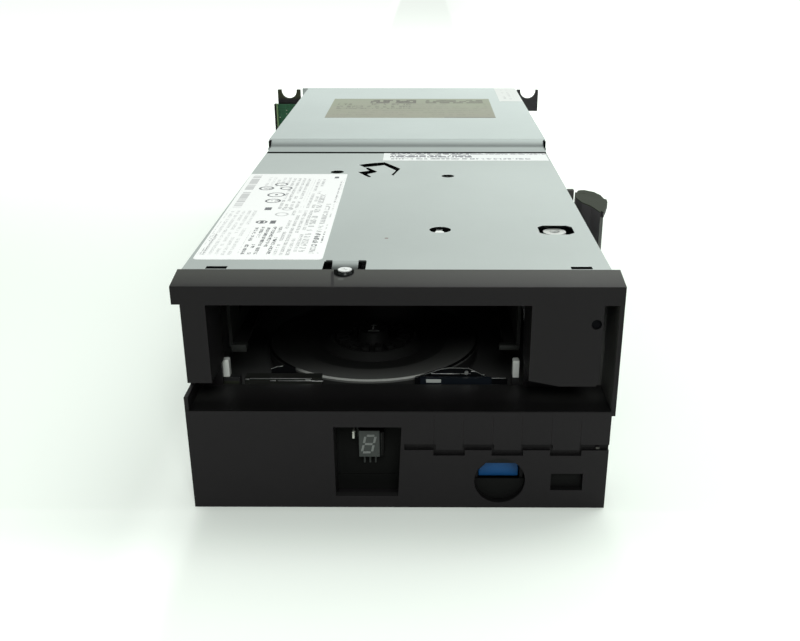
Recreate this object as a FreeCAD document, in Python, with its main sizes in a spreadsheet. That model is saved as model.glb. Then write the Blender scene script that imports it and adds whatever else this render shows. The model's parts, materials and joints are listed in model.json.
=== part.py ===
"""Full-height 5.25-inch data tape drive with a library-style rear extension, as a parametric document.

Drive coordinates: X to the right seen from the front, Y from the bezel's front face towards the rear,
Z up from the bezel's lowest edge. Every sub-part is then shifted to the row's origin, which is the
centre of the four bottom mounting holes on the chassis' underside.
"""
import FreeCAD, Part
import math
import os
import re

import Sketcher
from FreeCAD import Placement, Rotation, Vector

SIZES = {
    # the drive's origin, measured from the bezel's front and lowest edge
    "origin_depth": 91.625, "origin_rise": 1.2,
    # chassis and deck
    "body_half": 73.0, "chassis_front": 22.4, "chassis_rear": 209.4, "floor_thick": 2.0,
    "wall_thick": 2.5, "wall_top": 43.6, "inner_wall_out": 71.6, "inner_wall_in": 70.2,
    "inner_wall_top": 78.0, "wall_overlap": 4.0, "rear_wall_drop": 6.0, "deck_low": 26.0,
    "deck_top": 29.0, "deck_half": 69.9, "deck_front": 34.0, "deck_rear": 205.0, "fit_gap": 0.3,
    "pillar_inset": 5.0, "pillar_front": 6.0, "pillar_rear": 8.0, "motor_clear": 1.0,
    "head_hole_radius": 7.0,
    # mounting holes
    "hole_pitch": 79.25, "first_hole": 52.0, "side_row_low": 11.2, "side_row_gap": 11.84,
    "bottom_hole_span": 139.7, "tapped_radius": 1.25, "boss_radius": 3.0, "boss_height": 3.0,
    "pillar_radius": 3.4, "deck_hole_radius": 1.7,
    # main cover
    "sheet": 0.8, "cover_top": 83.9, "cover_front": 12.8, "cover_rear": 209.0,
    "flange_front": 22.6, "flange_low": 44.0,
    "notch_left": -25.2, "notch_right": -13.4, "notch_wide": 2.8, "notch_end": 25.4,
    "tongue_dip": 1.3, "tongue_bend": 20.0, "screw_across": -17.4, "screw_along": 15.9,
    "slot_left_low": -65.0, "slot_left_high": -57.9, "slot_right_low": 59.5,
    "slot_right_high": 66.6, "slot_along": 17.0, "slot_wide": 2.8,
    "window_low": 53.4, "window_high": 66.6, "window_front": 59.0, "window_rear": 71.4,
    "window_corner": 2.2, "screw_hole_radius": 1.6,
    # bezel
    "brow_left": -73.25, "brow_right": 75.0, "brow_depth": 12.5, "brow_front_top": 83.35,
    "brow_rear_top": 85.2, "screw_bay_half": 3.4, "screw_bay_along": 10.4, "screw_bay_deep": 4.0,
    "brow_low": 77.1, "frame_left": -70.5, "panel_corner": 1.2, "front_rounding": 0.3,
    "panel_thick": 3.0, "open_left": -62.2, "open_right": 44.7, "open_top": 76.9,
    "left_plate_low": 48.9, "panel_low": 47.9, "panel_low_inner": 50.0, "panel_slope_end": 55.0,
    "panel_right": 68.4, "groove_right": 73.4, "ledge": 38.4, "ledge_thick": 1.8,
    "bezel_rear": 22.0, "block_left": -72.4, "block_right": 73.8, "skin": 2.6, "side_thick": 2.0,
    "back_thick": 1.6,
    "right_wall_low": 36.7, "cheek_thick": 1.4, "short_wall_top": 43.5, "short_wall_in": -71.0,
    "pin_hole_across": 66.2, "pin_hole_up": 70.3, "pin_hole_radius": 1.7,
    # openings of the bezel's lower block
    "bay_left": -21.9, "bay_right": 1.7, "bay_top": 32.2, "bay_low": 4.8, "bay_low_left": -21.8,
    "bay_low_right": 0.3, "bay_wall": 1.4, "guide_wall": 1.2,
    "eject_across": 36.2, "eject_up": 11.1, "eject_radius": 8.95, "key_left": 54.2,
    "key_right": 65.4, "key_low": 7.3, "key_top": 14.0,
    "crenel_low": 21.2, "crenel_mid": 23.35, "crenel_line": 2.25, "crenel_link": 0.8,
    "crenel_start": 2.6, "crenel_step": 10.15, "crenel_deep": 1.3, "tongue_seam": 0.25,
    "tongue_seam_deep": 0.15, "tongue_seam_top": 36.2,
    # front card and what it carries
    "card_thick": 1.6, "front_card_face": 12.0, "front_card_left": -46.0,
    "front_card_right": 68.0, "front_card_low": 4.4, "front_card_top": 34.6,
    "digit_left": -13.7, "digit_right": -6.3, "digit_low": 16.4, "digit_top": 26.8,
    "digit_face": 7.6, "digit_side": 1.4, "lead_half": 0.3, "lead_step": 2.0, "lead_drop": 4.2,
    "lead_deep": 1.2, "pipe_left": -15.8, "pipe_thick": 0.7, "pipe_low": 24.7, "pipe_high": 27.4,
    "pipe_face": 6.0,
    # eject button
    "button_left": 28.9, "button_right": 43.2, "button_low": 10.0, "button_top": 19.2,
    "button_face": 5.4, "button_rear": 8.6, "stem_wide": 5.0,
    "stem_rear": 9.4, "switch_rear": 12.0, "button_travel": 1.5, "stem_low": 11.5, "stem_top": 16.5,
    "button_rounding": 2.2, "switch_half": 3.0, "switch_gap": 0.1,
    # reels and motors
    "supply_across": -11.0, "supply_along": 67.2, "table_radius": 42.0, "table_low": 33.0,
    "table_top": 38.4, "table_web": 36.2, "table_rim": 2.0, "rim_bevel": 0.8, "chuck_radius": 16.0,
    "chuck_foot": 20.0, "chuck_rise": 39.0, "chuck_dish": 37.6, "chuck_bore": 7.0, "nose_radius": 5.6,
    "chuck_tooth_in": 10.0, "chuck_tooth_out": 14.6, "chuck_tooth_low": 37.0, "chuck_tooth_high": 2.8,
    "chuck_tooth_half": 1.3, "chuck_tooth_tip": 0.9, "motor_flange": 4.0, "motor_rise": 2.0,
    "chuck_top": 42.2, "spindle_radius": 3.0, "spindle_gap": 0.05, "motor_radius": 29.0,
    "motor_low": 13.0, "spindle_top": 40.6, "takeup_across": 26.0, "takeup_along": 170.0,
    "reel_radius": 34.0, "reel_hub": 20.0, "reel_low": 45.0, "reel_top": 60.6,
    "reel_flange": 1.3, "takeup_motor_radius": 24.0, "reel_boss": 9.0, "reel_boss_drop": 6.0,
    "reel_foot": 11.0, "reel_dish": 2.0,
    # tape path
    "roller_radius": 5.0, "roller_flange": 6.2, "roller_low": 45.2, "roller_top": 60.4,
    "roller_lip": 1.0, "post_radius": 1.5, "post_top": 62.4, "post_gap": 0.05, "post_collar": 2.0,
    "head_across": -36.0, "head_along": 156.0, "rod_radius": 1.5, "rod_gap": 0.05,
    "rod_apart": 13.0, "rod_top": 62.9, "rod_behind": 8.0, "rod_foot": 4.0, "head_left": 8.4,
    "head_right": 5.0, "head_front": 5.6, "head_back": 3.0, "head_low": 44.6, "head_top": 60.8,
    "head_nose_radius": 3.2, "head_nose_back": 1.4, "head_nose_inset": 0.6, "carriage_half": 10.2,
    "carriage_back": 11.5, "carriage_low": 46.0, "carriage_top": 59.0, "head_motor_radius": 6.4,
    "head_motor_rise": 5.0, "lead_screw_radius": 1.0, "lead_screw_long": 6.0,
    # threading arm
    "arm_pivot_across": -20.0, "arm_pivot_along": 150.0, "arm_reach": 40.0, "arm_low": 63.4,
    "arm_top": 66.4, "arm_half": 3.2, "arm_hub": 6.0, "arm_post_radius": 2.0,
    "arm_rest_turn": 204.0, "arm_neck": 1.6, "arm_claw": 3.0, "arm_mouth": 0.8, "arm_mouth_deep": 0.4,
    # cartridge tray and loader
    "tray_left": -62.0, "tray_right": 44.6, "rail_thick": 1.4, "tray_low": 49.0,
    "tray_top": 74.6, "tray_front": 31.0, "tray_rear": 131.0, "tray_lip": 6.0, "tray_sheet": 1.2,
    "tie_front": 26.0, "tie_rear": 14.0, "tray_slot_first": 16.0, "tray_slot_step": 22.0,
    "tray_slot_long": 14.0, "tray_slot_low": 8.0, "tray_slot_top": 6.0,
    "bridge_left": -40.0, "bridge_low": 58.0, "tray_drop": 9.0, "slider_travel": 24.0,
    "cam_pin_radius": 1.5, "cam_gap": 0.3, "cam_pin_up": 66.0, "cam_pin_first": 62.0,
    "cam_pin_second": 102.0, "slider_in": 46.8, "slider_out": 48.8, "slider_front": 33.0,
    "slider_rear": 112.0, "slider_low": 52.0, "slider_top": 72.0,
    "gear_module": 1.0, "gear_teeth": 18.0, "pinion_teeth": 10.0, "gear_across": 60.0,
    "gear_along": 68.8, "gear_cap_radius": 4.4, "gear_cap_top": 82.2, "gear_low": 68.6,
    "gear_top": 72.0, "gear_post_radius": 2.0, "gear_collar": 1.5, "motor_shaft_radius": 1.0,
    "tooth_add": 0.8, "tooth_root": 1.1, "tooth_half": 0.6, "tooth_tip_half": 0.28,
    "tooth_root_half": 0.95, "loader_motor_radius": 7.6, "loader_motor_low": 44.0,
    "loader_motor_top": 66.4, "bracket_left": 6.0, "bracket_right": 9.0, "bracket_front": 5.0,
    "bracket_rear": 10.2, "bracket_grip": 8.0,
    # what stands just behind the ledge
    "left_post": -63.5, "right_post": 41.5, "post_wide": 2.4, "post_front": 23.4, "post_deep": 3.4,
    "post_low": 40.4, "post_high": 47.1, "post_rounding": 0.5, "foot_wide": 6.0, "rail_top": 28.8,
    "rail_left": -60.0, "rail_right": 62.0, "rail_front": 23.2, "rail_rear": 33.8,
    "spring_left": -56.0, "spring_right": -28.0, "spring_top": 39.6, "spring_front": 24.0,
    "spring_deep": 5.0, "spring_thick": 1.0, "spring_fold": 0.6, "strip_seat": 0.2,
    "sensor_left": 8.0, "sensor_right": 34.0, "sensor_top": 40.2, "sensor_thick": 1.4,
    # side latch
    "latch_pin_across": 78.2, "latch_pin_along": 122.0, "latch_pin_radius": 1.5,
    "latch_low": 34.0, "latch_top": 84.0, "latch_cap": 2.6, "latch_gap": 0.05,
    "latch_lip": 1.3, "latch_mount_in": 73.0, "latch_mount_thick": 1.2, "mount_front": 112.0,
    "mount_rear": 136.0, "mount_low": 26.0, "mount_top": 33.8, "lug_front": 118.0, "lug_rear": 134.0,
    "lug_low": 30.4, "lug_reach": 3.0, "latch_rest_gap": 0.1, "latch_head_thick": 1.2,
    # rear extension
    "rear_half": 74.8, "rear_front": 210.9, "rear_end": 426.5, "rear_top": 86.8,
    "crease_along": 228.0, "riser_end": 233.0, "rear_flange_low": 42.0, "tray_wall_top": 41.6,
    "riser_notch": 2.6, "strip_half": 73.0, "panel_face": 424.5, "panel_inset": 0.4, "tray_lip_top": 12.0,
    "fan_across": 32.0, "fan_up": 42.0, "fan_half": 30.0, "fan_front": 396.5, "fan_rear": 423.1,
    "fan_hole": 28.0, "rotor_radius": 27.0, "rotor_hub": 11.0, "fan_pin_radius": 1.5,
    "rotor_clear": 1.2, "strut_half": 1.2, "strut_thick": 2.0, "strut_inset": 1.0, "rotor_front": 4.5,
    "rotor_long": 16.0, "blade_start": 2.0, "blade_long": 12.0, "grille_wire": 1.0,
    "port_deep": 16.0, "port_mouth": 12.0, "port_out": 1.6, "port_gap": 0.4, "port_wall": 1.4,
    "contact_first": -60.0, "contact_step": 2.9, "contact_thick": 1.0, "contact_low": 27.5,
    "contact_tip": 5.0, "contact_root": 12.5,
    # rear bracket and cards
    "fork_front": 426.5, "fork_rear": 429.5, "fork_low": 70.4, "fork_top": 85.4,
    "fork_left": -97.4, "fork_right": 91.6, "fork_notch_radius": 5.5,
    "left_notch_across": -89.2, "right_notch_across": 84.2, "wing_low": 20.0,
    "wing_right": -76.4, "bar_low": 76.0, "fork_inner_left": -81.0, "fork_inner_right": 76.2,
    "link_left": -99.6, "link_right": -77.2, "link_low": 24.0, "link_top": 75.6,
    "link_rear": 425.3, "link_bar_wide": 2.4, "link_bar_deep": 5.0, "link_bar_rise": 0.6,
    "wing_rise": 3.0, "notch_rise": 0.6,
    # cards in the body
    "logic_half": 60.5, "logic_front": 44.0, "logic_rear": 204.0, "logic_low": 5.6,
    "power_half": 66.0, "power_front": 222.0, "power_rear": 384.0, "power_low": 8.0,
    "can_radius": 7.0, "can_high": 24.0, "shield_half": 68.0, "shield_front": 214.0,
    "shield_low": 56.0, "shield_thick": 1.0, "vent_half": 50.0, "vent_first": 232.0,
    "vent_step": 14.0, "vent_long": 5.0, "standoff_radius": 2.6, "link_standoff_radius": 2.0,
    # fasteners
    "head_slope": 0.9, "shank_radius": 1.4, "cross_half": 1.9, "cross_wide": 0.4, "cross_deep": 1.1,
    "pan_radius": 2.4, "pan_high": 0.9, "pan_shank_radius": 1.2, "pan_shank_long": 3.0,
    # labels
    "label_thick": 0.12, "info_left": -72.0, "info_right": -27.0, "info_front": 27.0,
    "info_rear": 160.0, "strip_left": -11.6, "strip_right": 72.0, "strip_front": 190.7,
    "strip_rear": 208.6, "plate_left": -51.2, "plate_right": 52.4, "plate_front": 300.0,
    "plate_rear": 374.0, "corner_left": 59.2, "corner_right": 74.4, "corner_front": 364.0,
    "corner_rear": 425.0,
}

doc = FreeCAD.newDocument("data_tape_drive")
sheet = doc.addObject("Spreadsheet::Sheet", "dims")
for row, (alias, value) in enumerate(SIZES.items(), start=1):
    sheet.set(f"A{row}", alias)
    sheet.set(f"B{row}", repr(float(value)))
    sheet.setAlias(f"B{row}", alias)
doc.recompute()

SHIFT = {"x": "0", "y": "origin_depth", "z": "origin_rise"}
AXES = {
    "x": Rotation(Vector(0, 1, 0), 90),
    "y": Rotation(Vector(1, 0, 0), -90),
    "z": Rotation(),
}
SUBPARTS = []


def formula(text):
    """An expression in which each sheet name is written with the sheet in front of it."""
    return re.sub(r"[a-z]+(_[a-z]+)*", lambda m: f"dims.{m[0]}" if m[0] in SIZES else m[0], str(text))


def value_of(text):
    """The number that an expression gives, for the places where a shape is laid out in Python."""
    return float(sheet.evalExpression(formula(text)))


def bind(piece, prop, text):
    """Binds a property to the sheet."""
    piece.setExpression(prop, formula(text))


def place(piece, x, y, z):
    """Puts a piece at a point in drive coordinates."""
    for axis, text in zip("xyz", (x, y, z)):
        bind(piece, "Placement.Base." + axis, f"({text}) - ({SHIFT[axis]})")


def block(x, y, z, name="block"):
    """A box between two limits on each axis."""
    piece = doc.addObject("Part::Box", name)
    for side, (low, high) in zip(("Length", "Width", "Height"), (x, y, z)):
        bind(piece, side, f"({high}) - ({low})")
    place(piece, x[0], y[0], z[0])
    return piece


def rod(centre, radius, low, high, axis="z", name="rod"):
    """A cylinder along an axis, between two limits on it. Centre gives the other two coordinates."""
    piece = doc.addObject("Part::Cylinder", name)
    piece.Placement = Placement(Vector(), AXES[axis])
    bind(piece, "Radius", radius)
    bind(piece, "Height", f"({high}) - ({low})")
    at = list(centre)
    at.insert("xyz".index(axis), low)
    place(piece, *at)
    return piece


def cone(centre, low_radius, high_radius, low, high, name="cone"):
    """A cone along Z, between two heights."""
    piece = doc.addObject("Part::Cone", name)
    bind(piece, "Radius1", low_radius)
    bind(piece, "Radius2", high_radius)
    bind(piece, "Height", f"({high}) - ({low})")
    place(piece, centre[0], centre[1], low)
    return piece


def fuse(*pieces, name="joined"):
    """The pieces as one solid."""
    joined = doc.addObject("Part::MultiFuse", name)
    joined.Shapes = list(pieces)
    joined.Refine = True
    return joined


def cut(base, *tools, name="trimmed"):
    """A piece with the tools taken out of it."""
    trimmed = doc.addObject("Part::Cut", name)
    trimmed.Base = base
    trimmed.Tool = tools[0] if len(tools) == 1 else group(*tools)
    return trimmed


def group(*pieces, name="set"):
    """Separate solids that share one node."""
    together = doc.addObject("Part::Compound", name)
    together.Links = list(pieces)
    return together


def rounded(piece, radius, chosen, name="rounded"):
    """Rounds the edges that a test on their middle point and direction chooses."""
    doc.recompute()
    edges = []
    for number, edge in enumerate(piece.Shape.Edges, start=1):
        middle = edge.valueAt((edge.FirstParameter + edge.LastParameter) / 2)
        if chosen(middle, edge):
            edges.append((number, radius, radius))
    fillet = doc.addObject("Part::Fillet", name)
    fillet.Base = piece
    fillet.Edges = edges
    return fillet


def subpart(label, piece):
    """Names a finished sub-part. Its label is its file's name."""
    piece.Label = label
    SUBPARTS.append(piece)
    return piece


class Body:
    """A PartDesign body in drive coordinates."""

    def __init__(self, name):
        self.body = doc.addObject("PartDesign::Body", name)
        place(self.body, 0, 0, 0)

    def sketch(self, plane, level=0):
        """A sketch on an origin plane, lifted along the plane's own axis to a level."""
        drawn = self.body.newObject("Sketcher::SketchObject", "sketch")
        origin = self.body.Origin.OriginFeatures
        drawn.AttachmentSupport = [(next(f for f in origin if f.Role == plane), "")]
        drawn.MapMode = "FlatFace"
        lift = f"-1 * ({level})" if plane == "XZ_Plane" else str(level)
        bind(drawn, "AttachmentOffset.Base.z", lift)
        return drawn

    def outline(self, drawn, points):
        """A closed outline of straight runs, each corner held by two dimensions."""
        first = drawn.GeometryCount
        corners = [Vector(value_of(x), value_of(y), 0) for x, y in points]
        count = len(corners)
        for n in range(count):
            drawn.addGeometry(Part.LineSegment(corners[n], corners[(n + 1) % count]), False)
        for n in range(count):
            drawn.addConstraint(Sketcher.Constraint("Coincident", first + n, 2, first + (n + 1) % count, 1))
        for n, (x, y) in enumerate(points):
            for kind, text, number in (("DistanceX", x, corners[n].x), ("DistanceY", y, corners[n].y)):
                held = drawn.addConstraint(Sketcher.Constraint(kind, first + n, 1, number))
                drawn.setExpression(f"Constraints[{held}]", formula(text))
        return drawn

    def circle(self, drawn, x, y, radius):
        """A circle held by its centre and radius."""
        centre = Vector(value_of(x), value_of(y), 0)
        n = drawn.addGeometry(Part.Circle(centre, Vector(0, 0, 1), value_of(radius)), False)
        held = drawn.addConstraint(Sketcher.Constraint("Radius", n, value_of(radius)))
        drawn.setExpression(f"Constraints[{held}]", formula(radius))
        for kind, text, number in (("DistanceX", x, centre.x), ("DistanceY", y, centre.y)):
            held = drawn.addConstraint(Sketcher.Constraint(kind, n, 3, number))
            drawn.setExpression(f"Constraints[{held}]", formula(text))
        return drawn

    def pad(self, drawn, length, back=False):
        """Adds a sketch's solid."""
        added = self.body.newObject("PartDesign::Pad", "pad")
        added.Profile = drawn
        added.Reversed = back
        bind(added, "Length", length)
        doc.recompute()
        return added

    def pocket(self, drawn, length, back=False):
        """Takes a sketch's solid away, and checks that it took some."""
        before = self.body.Shape.Volume
        taken = self.body.newObject("PartDesign::Pocket", "pocket")
        taken.Profile = drawn
        taken.Reversed = back
        bind(taken, "Length", length)
        doc.recompute()
        if self.body.Shape.Volume >= before - 1e-6:
            raise ValueError(f"{self.body.Name}: a pocket took nothing")
        return taken

    def turned(self, drawn, x, y):
        """Turns an outline drawn on the XZ plane round an upright line through X, with the body at Y."""
        added = self.body.newObject("PartDesign::Revolution", "turned")
        added.Profile = drawn
        added.ReferenceAxis = (drawn, ["V_Axis"])
        added.Angle = 360
        place(self.body, x, y, 0)
        doc.recompute()
        return added

    def ring_of(self, feature, count):
        """Repeats a feature round the body's own Z axis."""
        pattern = self.body.newObject("PartDesign::PolarPattern", "ring")
        pattern.Originals = [feature]
        axis = next(f for f in self.body.Origin.OriginFeatures if f.Role == "Z_Axis")
        pattern.Axis = (axis, [""])
        pattern.Angle = 360
        pattern.Occurrences = count
        self.body.Tip = pattern
        doc.recompute()
        return pattern

    def row_of(self, feature, count, length, role="Y_Axis"):
        """Repeats a feature along one of the body's own axes."""
        pattern = self.body.newObject("PartDesign::LinearPattern", "row")
        pattern.Originals = [feature]
        axis = next(f for f in self.body.Origin.OriginFeatures if f.Role == role)
        pattern.Direction = (axis, [""])
        bind(pattern, "Length", length)
        pattern.Occurrences = count
        self.body.Tip = pattern
        doc.recompute()
        return pattern


def corner_frame(left, right, front, rear):
    """An outline's four corners."""
    return [(left, front), (right, front), (right, rear), (left, rear)]


# ---------------------------------------------------------------- chassis and deck


DECK_SPOTS = [(x, y) for x in ("-deck_half + pillar_inset", "deck_half - pillar_inset")
              for y in ("deck_front + pillar_front", "deck_rear - pillar_rear")]


def chassis_base():
    """The cast lower chassis: floor, thick lower walls, set-in upper walls, and the mounting holes."""
    b, out = "body_half", "inner_wall_out"
    solids = [block((f"-{b}", b), ("chassis_front", "chassis_rear"),
                    ("origin_rise", "origin_rise + floor_thick"))]
    for low, high in ((f"-{b}", f"-{b} + wall_thick"), (f"{b} - wall_thick", b)):
        solids.append(block((low, high), ("chassis_front", "chassis_rear"), ("origin_rise", "wall_top")))
    for low, high in ((f"-{out}", "-inner_wall_in"), ("inner_wall_in", out)):
        solids.append(block((low, high), ("chassis_front", "chassis_rear"),
                            ("wall_top - wall_overlap", "inner_wall_top")))
    solids.append(block((f"-{b} + fit_gap", f"{b} - fit_gap"), ("chassis_rear - wall_thick", "chassis_rear"),
                        ("origin_rise", "wall_top - rear_wall_drop")))
    spots = [(x, y) for x in ("-bottom_hole_span / 2", "bottom_hole_span / 2")
             for y in ("first_hole", "first_hole + hole_pitch")]
    boss_top = "origin_rise + floor_thick + boss_height"
    solids += [rod(spot, "boss_radius", "origin_rise", boss_top) for spot in spots]
    solids += [rod(spot, "pillar_radius", "origin_rise", "deck_low") for spot in DECK_SPOTS]
    holes = [rod(spot, "tapped_radius", "origin_rise - 1", f"{boss_top} + 1") for spot in spots]
    for y in ("first_hole", "first_hole + hole_pitch"):
        for z in ("side_row_low", "side_row_low + side_row_gap"):
            holes.append(rod((y, z), "tapped_radius", f"-{b} - 1", f"-{b} + wall_thick + 1", "x"))
            holes.append(rod((y, z), "tapped_radius", f"{b} - wall_thick - 1", f"{b} + 1", "x"))
    subpart("chassis_base", cut(fuse(*solids), *holes))


def mechanism_deck():
    """The cast deck plate that carries the reels, the tape path and the loader."""
    plate = block(("-deck_half", "deck_half"), ("deck_front", "deck_rear"), ("deck_low", "deck_top"))
    holes = [
        rod(("supply_across", "supply_along"), "motor_radius + motor_clear", "deck_low - 1", "deck_top + 1"),
        rod(("takeup_across", "takeup_along"), "takeup_motor_radius + motor_clear", "deck_low - 1",
            "deck_top + 1"),
        rod(("head_across", "head_along"), "head_hole_radius", "deck_low - 1", "deck_top + 1"),
    ]
    holes += [rod(spot, "deck_hole_radius", "deck_low - 1", "deck_top + 1") for spot in DECK_SPOTS]
    subpart("mechanism_deck", cut(plate, *holes))


COVER_HOLES = ((-32.4, 165.2, 3.1), (20.4, 156.8, 2.9), (15.5, 65.3, 4.1))
# the lanced arrow: the wide band of its head, and the zig-zag of its tail
ARROW_STROKES = (
    [(-23.0, 181.3), (-17.8, 184.6), (-10.6, 187.2), (-2.4, 172.5), (-3.4, 167.6), (-5.4, 157.8),
     (-6.2, 159.6), (-4.3, 168.5), (-10.5, 180.6), (-14.7, 178.0), (-19.9, 175.6)],
    [(-19.4, 175.0), (-17.8, 174.3), (-13.4, 166.0), (-14.1, 164.2), (-17.9, 160.4), (-15.5, 154.6),
     (-16.8, 154.2), (-22.4, 165.0), (-17.1, 168.0), (-18.0, 169.6)],
)


def main_cover():
    """The folded top sheet: its flanges, dipped front tongue, slots, holes, window and arrow."""
    made = Body("main_cover")
    b, t = "body_half", "cover_top"
    outline = [(f"-{b}", "flange_low"), (f"-{b} + sheet", "flange_low"), (f"-{b} + sheet", f"{t} - sheet"),
               (f"{b} - sheet", f"{t} - sheet"), (f"{b} - sheet", "flange_low"), (b, "flange_low"),
               (b, t), (f"-{b}", t)]
    made.pad(made.outline(made.sketch("XZ_Plane", "cover_front"), outline),
             "cover_rear - cover_front", back=True)
    front = made.outline(made.sketch("XZ_Plane", "cover_front"),
                         [(f"-{b}", "flange_low"), (b, "flange_low"), (b, f"{t} - sheet"),
                          (f"-{b}", f"{t} - sheet")])
    made.pocket(front, "flange_front - cover_front", back=False)
    holes = made.sketch("XY_Plane", t)
    for across, along, radius in COVER_HOLES:
        made.circle(holes, across, along, radius)
    for low, high in (("slot_left_low", "slot_left_high"), ("slot_right_low", "slot_right_high")):
        made.outline(holes, corner_frame(low, high, "slot_along", "slot_along + slot_wide"))
    made.outline(holes, corner_frame("notch_left", "notch_right + notch_wide", "cover_front - 1",
                                     "notch_end"))
    c = "window_corner"
    made.outline(holes, [("window_low", f"window_front + {c}"), (f"window_low + {c}", "window_front"),
                         (f"window_high - {c}", "window_front"), ("window_high", f"window_front + {c}"),
                         ("window_high", f"window_rear - {c}"), (f"window_high - {c}", "window_rear"),
                         (f"window_low + {c}", "window_rear"), ("window_low", f"window_rear - {c}")])
    made.pocket(holes, "sheet + 0.5", back=False)
    for stroke in ARROW_STROKES:
        made.pocket(made.outline(made.sketch("XY_Plane", t), stroke), "sheet + 0.5", back=False)
    tongue = made.sketch("YZ_Plane", "notch_left + notch_wide")
    dip = f"{t} - tongue_dip"
    made.outline(tongue, [("notch_end", t), ("tongue_bend", dip), ("cover_front", dip),
                          ("cover_front", f"{dip} - sheet"), ("tongue_bend", f"{dip} - sheet"),
                          ("notch_end", f"{t} - sheet")])
    made.pad(tongue, "notch_right - notch_left - notch_wide")
    seat = made.sketch("XY_Plane", t)
    made.circle(seat, "screw_across", "screw_along", "screw_hole_radius")
    made.pocket(seat, "tongue_dip + sheet + 0.5", back=False)
    subpart("main_cover", made.body)


# ---------------------------------------------------------------- bezel and front card


def sloped_brow():
    """The bezel's brow: a wedge that climbs to the rear, with the ear at its left end."""
    made = Body("brow_wedge")
    wedge = made.sketch("YZ_Plane", "brow_left")
    made.outline(wedge, [(0, "brow_low"), ("brow_depth", "brow_low"), ("brow_depth", "brow_rear_top"),
                         (0, "brow_front_top")])
    made.pad(wedge, "brow_right - brow_left")
    return made.body


def right_panel():
    """The flat panel right of the tape opening, whose lower edge climbs towards the opening."""
    made = Body("right_panel")
    drawn = made.sketch("XZ_Plane", 0)
    made.outline(drawn, [("open_right", "panel_low_inner"), ("panel_slope_end", "panel_low"),
                         ("panel_right - panel_corner", "panel_low"),
                         ("panel_right", "panel_low + panel_corner"),
                         ("panel_right", "brow_low"), ("open_right", "brow_low")])
    made.pad(drawn, "panel_thick", back=True)
    return made.body


def display_bay():
    """The tapered window in front of the display."""
    made = Body("display_bay")
    drawn = made.sketch("XZ_Plane", -1)
    made.outline(drawn, [("bay_left", "bay_top"), ("bay_low_left", "bay_low"),
                         ("bay_low_right", "bay_low"), ("bay_right", "bay_top")])
    made.pad(drawn, "skin + 2", back=True)
    return made.body


CRENELS = 7


def crenel_slits():
    """The castellated slit across the lower block, and the fine seams of the tongues above its low runs."""
    slits = []
    deep = (-1, "crenel_deep")
    for n in range(CRENELS):
        low = f"crenel_start + {n} * crenel_step"
        high = f"crenel_start + {n + 1} * crenel_step"
        base = "crenel_mid" if n % 2 == 0 else "crenel_low"
        slits.append(block((low, f"{high} + crenel_link"), deep, (base, f"{base} + crenel_line")))
        if n % 2:
            for edge in (low, high):
                slits.append(block((edge, f"{edge} + crenel_link"), deep,
                                   ("crenel_low", "crenel_mid + crenel_line")))
                slits.append(block((edge, f"{edge} + tongue_seam"), (-1, "tongue_seam_deep"),
                                   ("crenel_mid", "tongue_seam_top")))
    return slits


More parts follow.
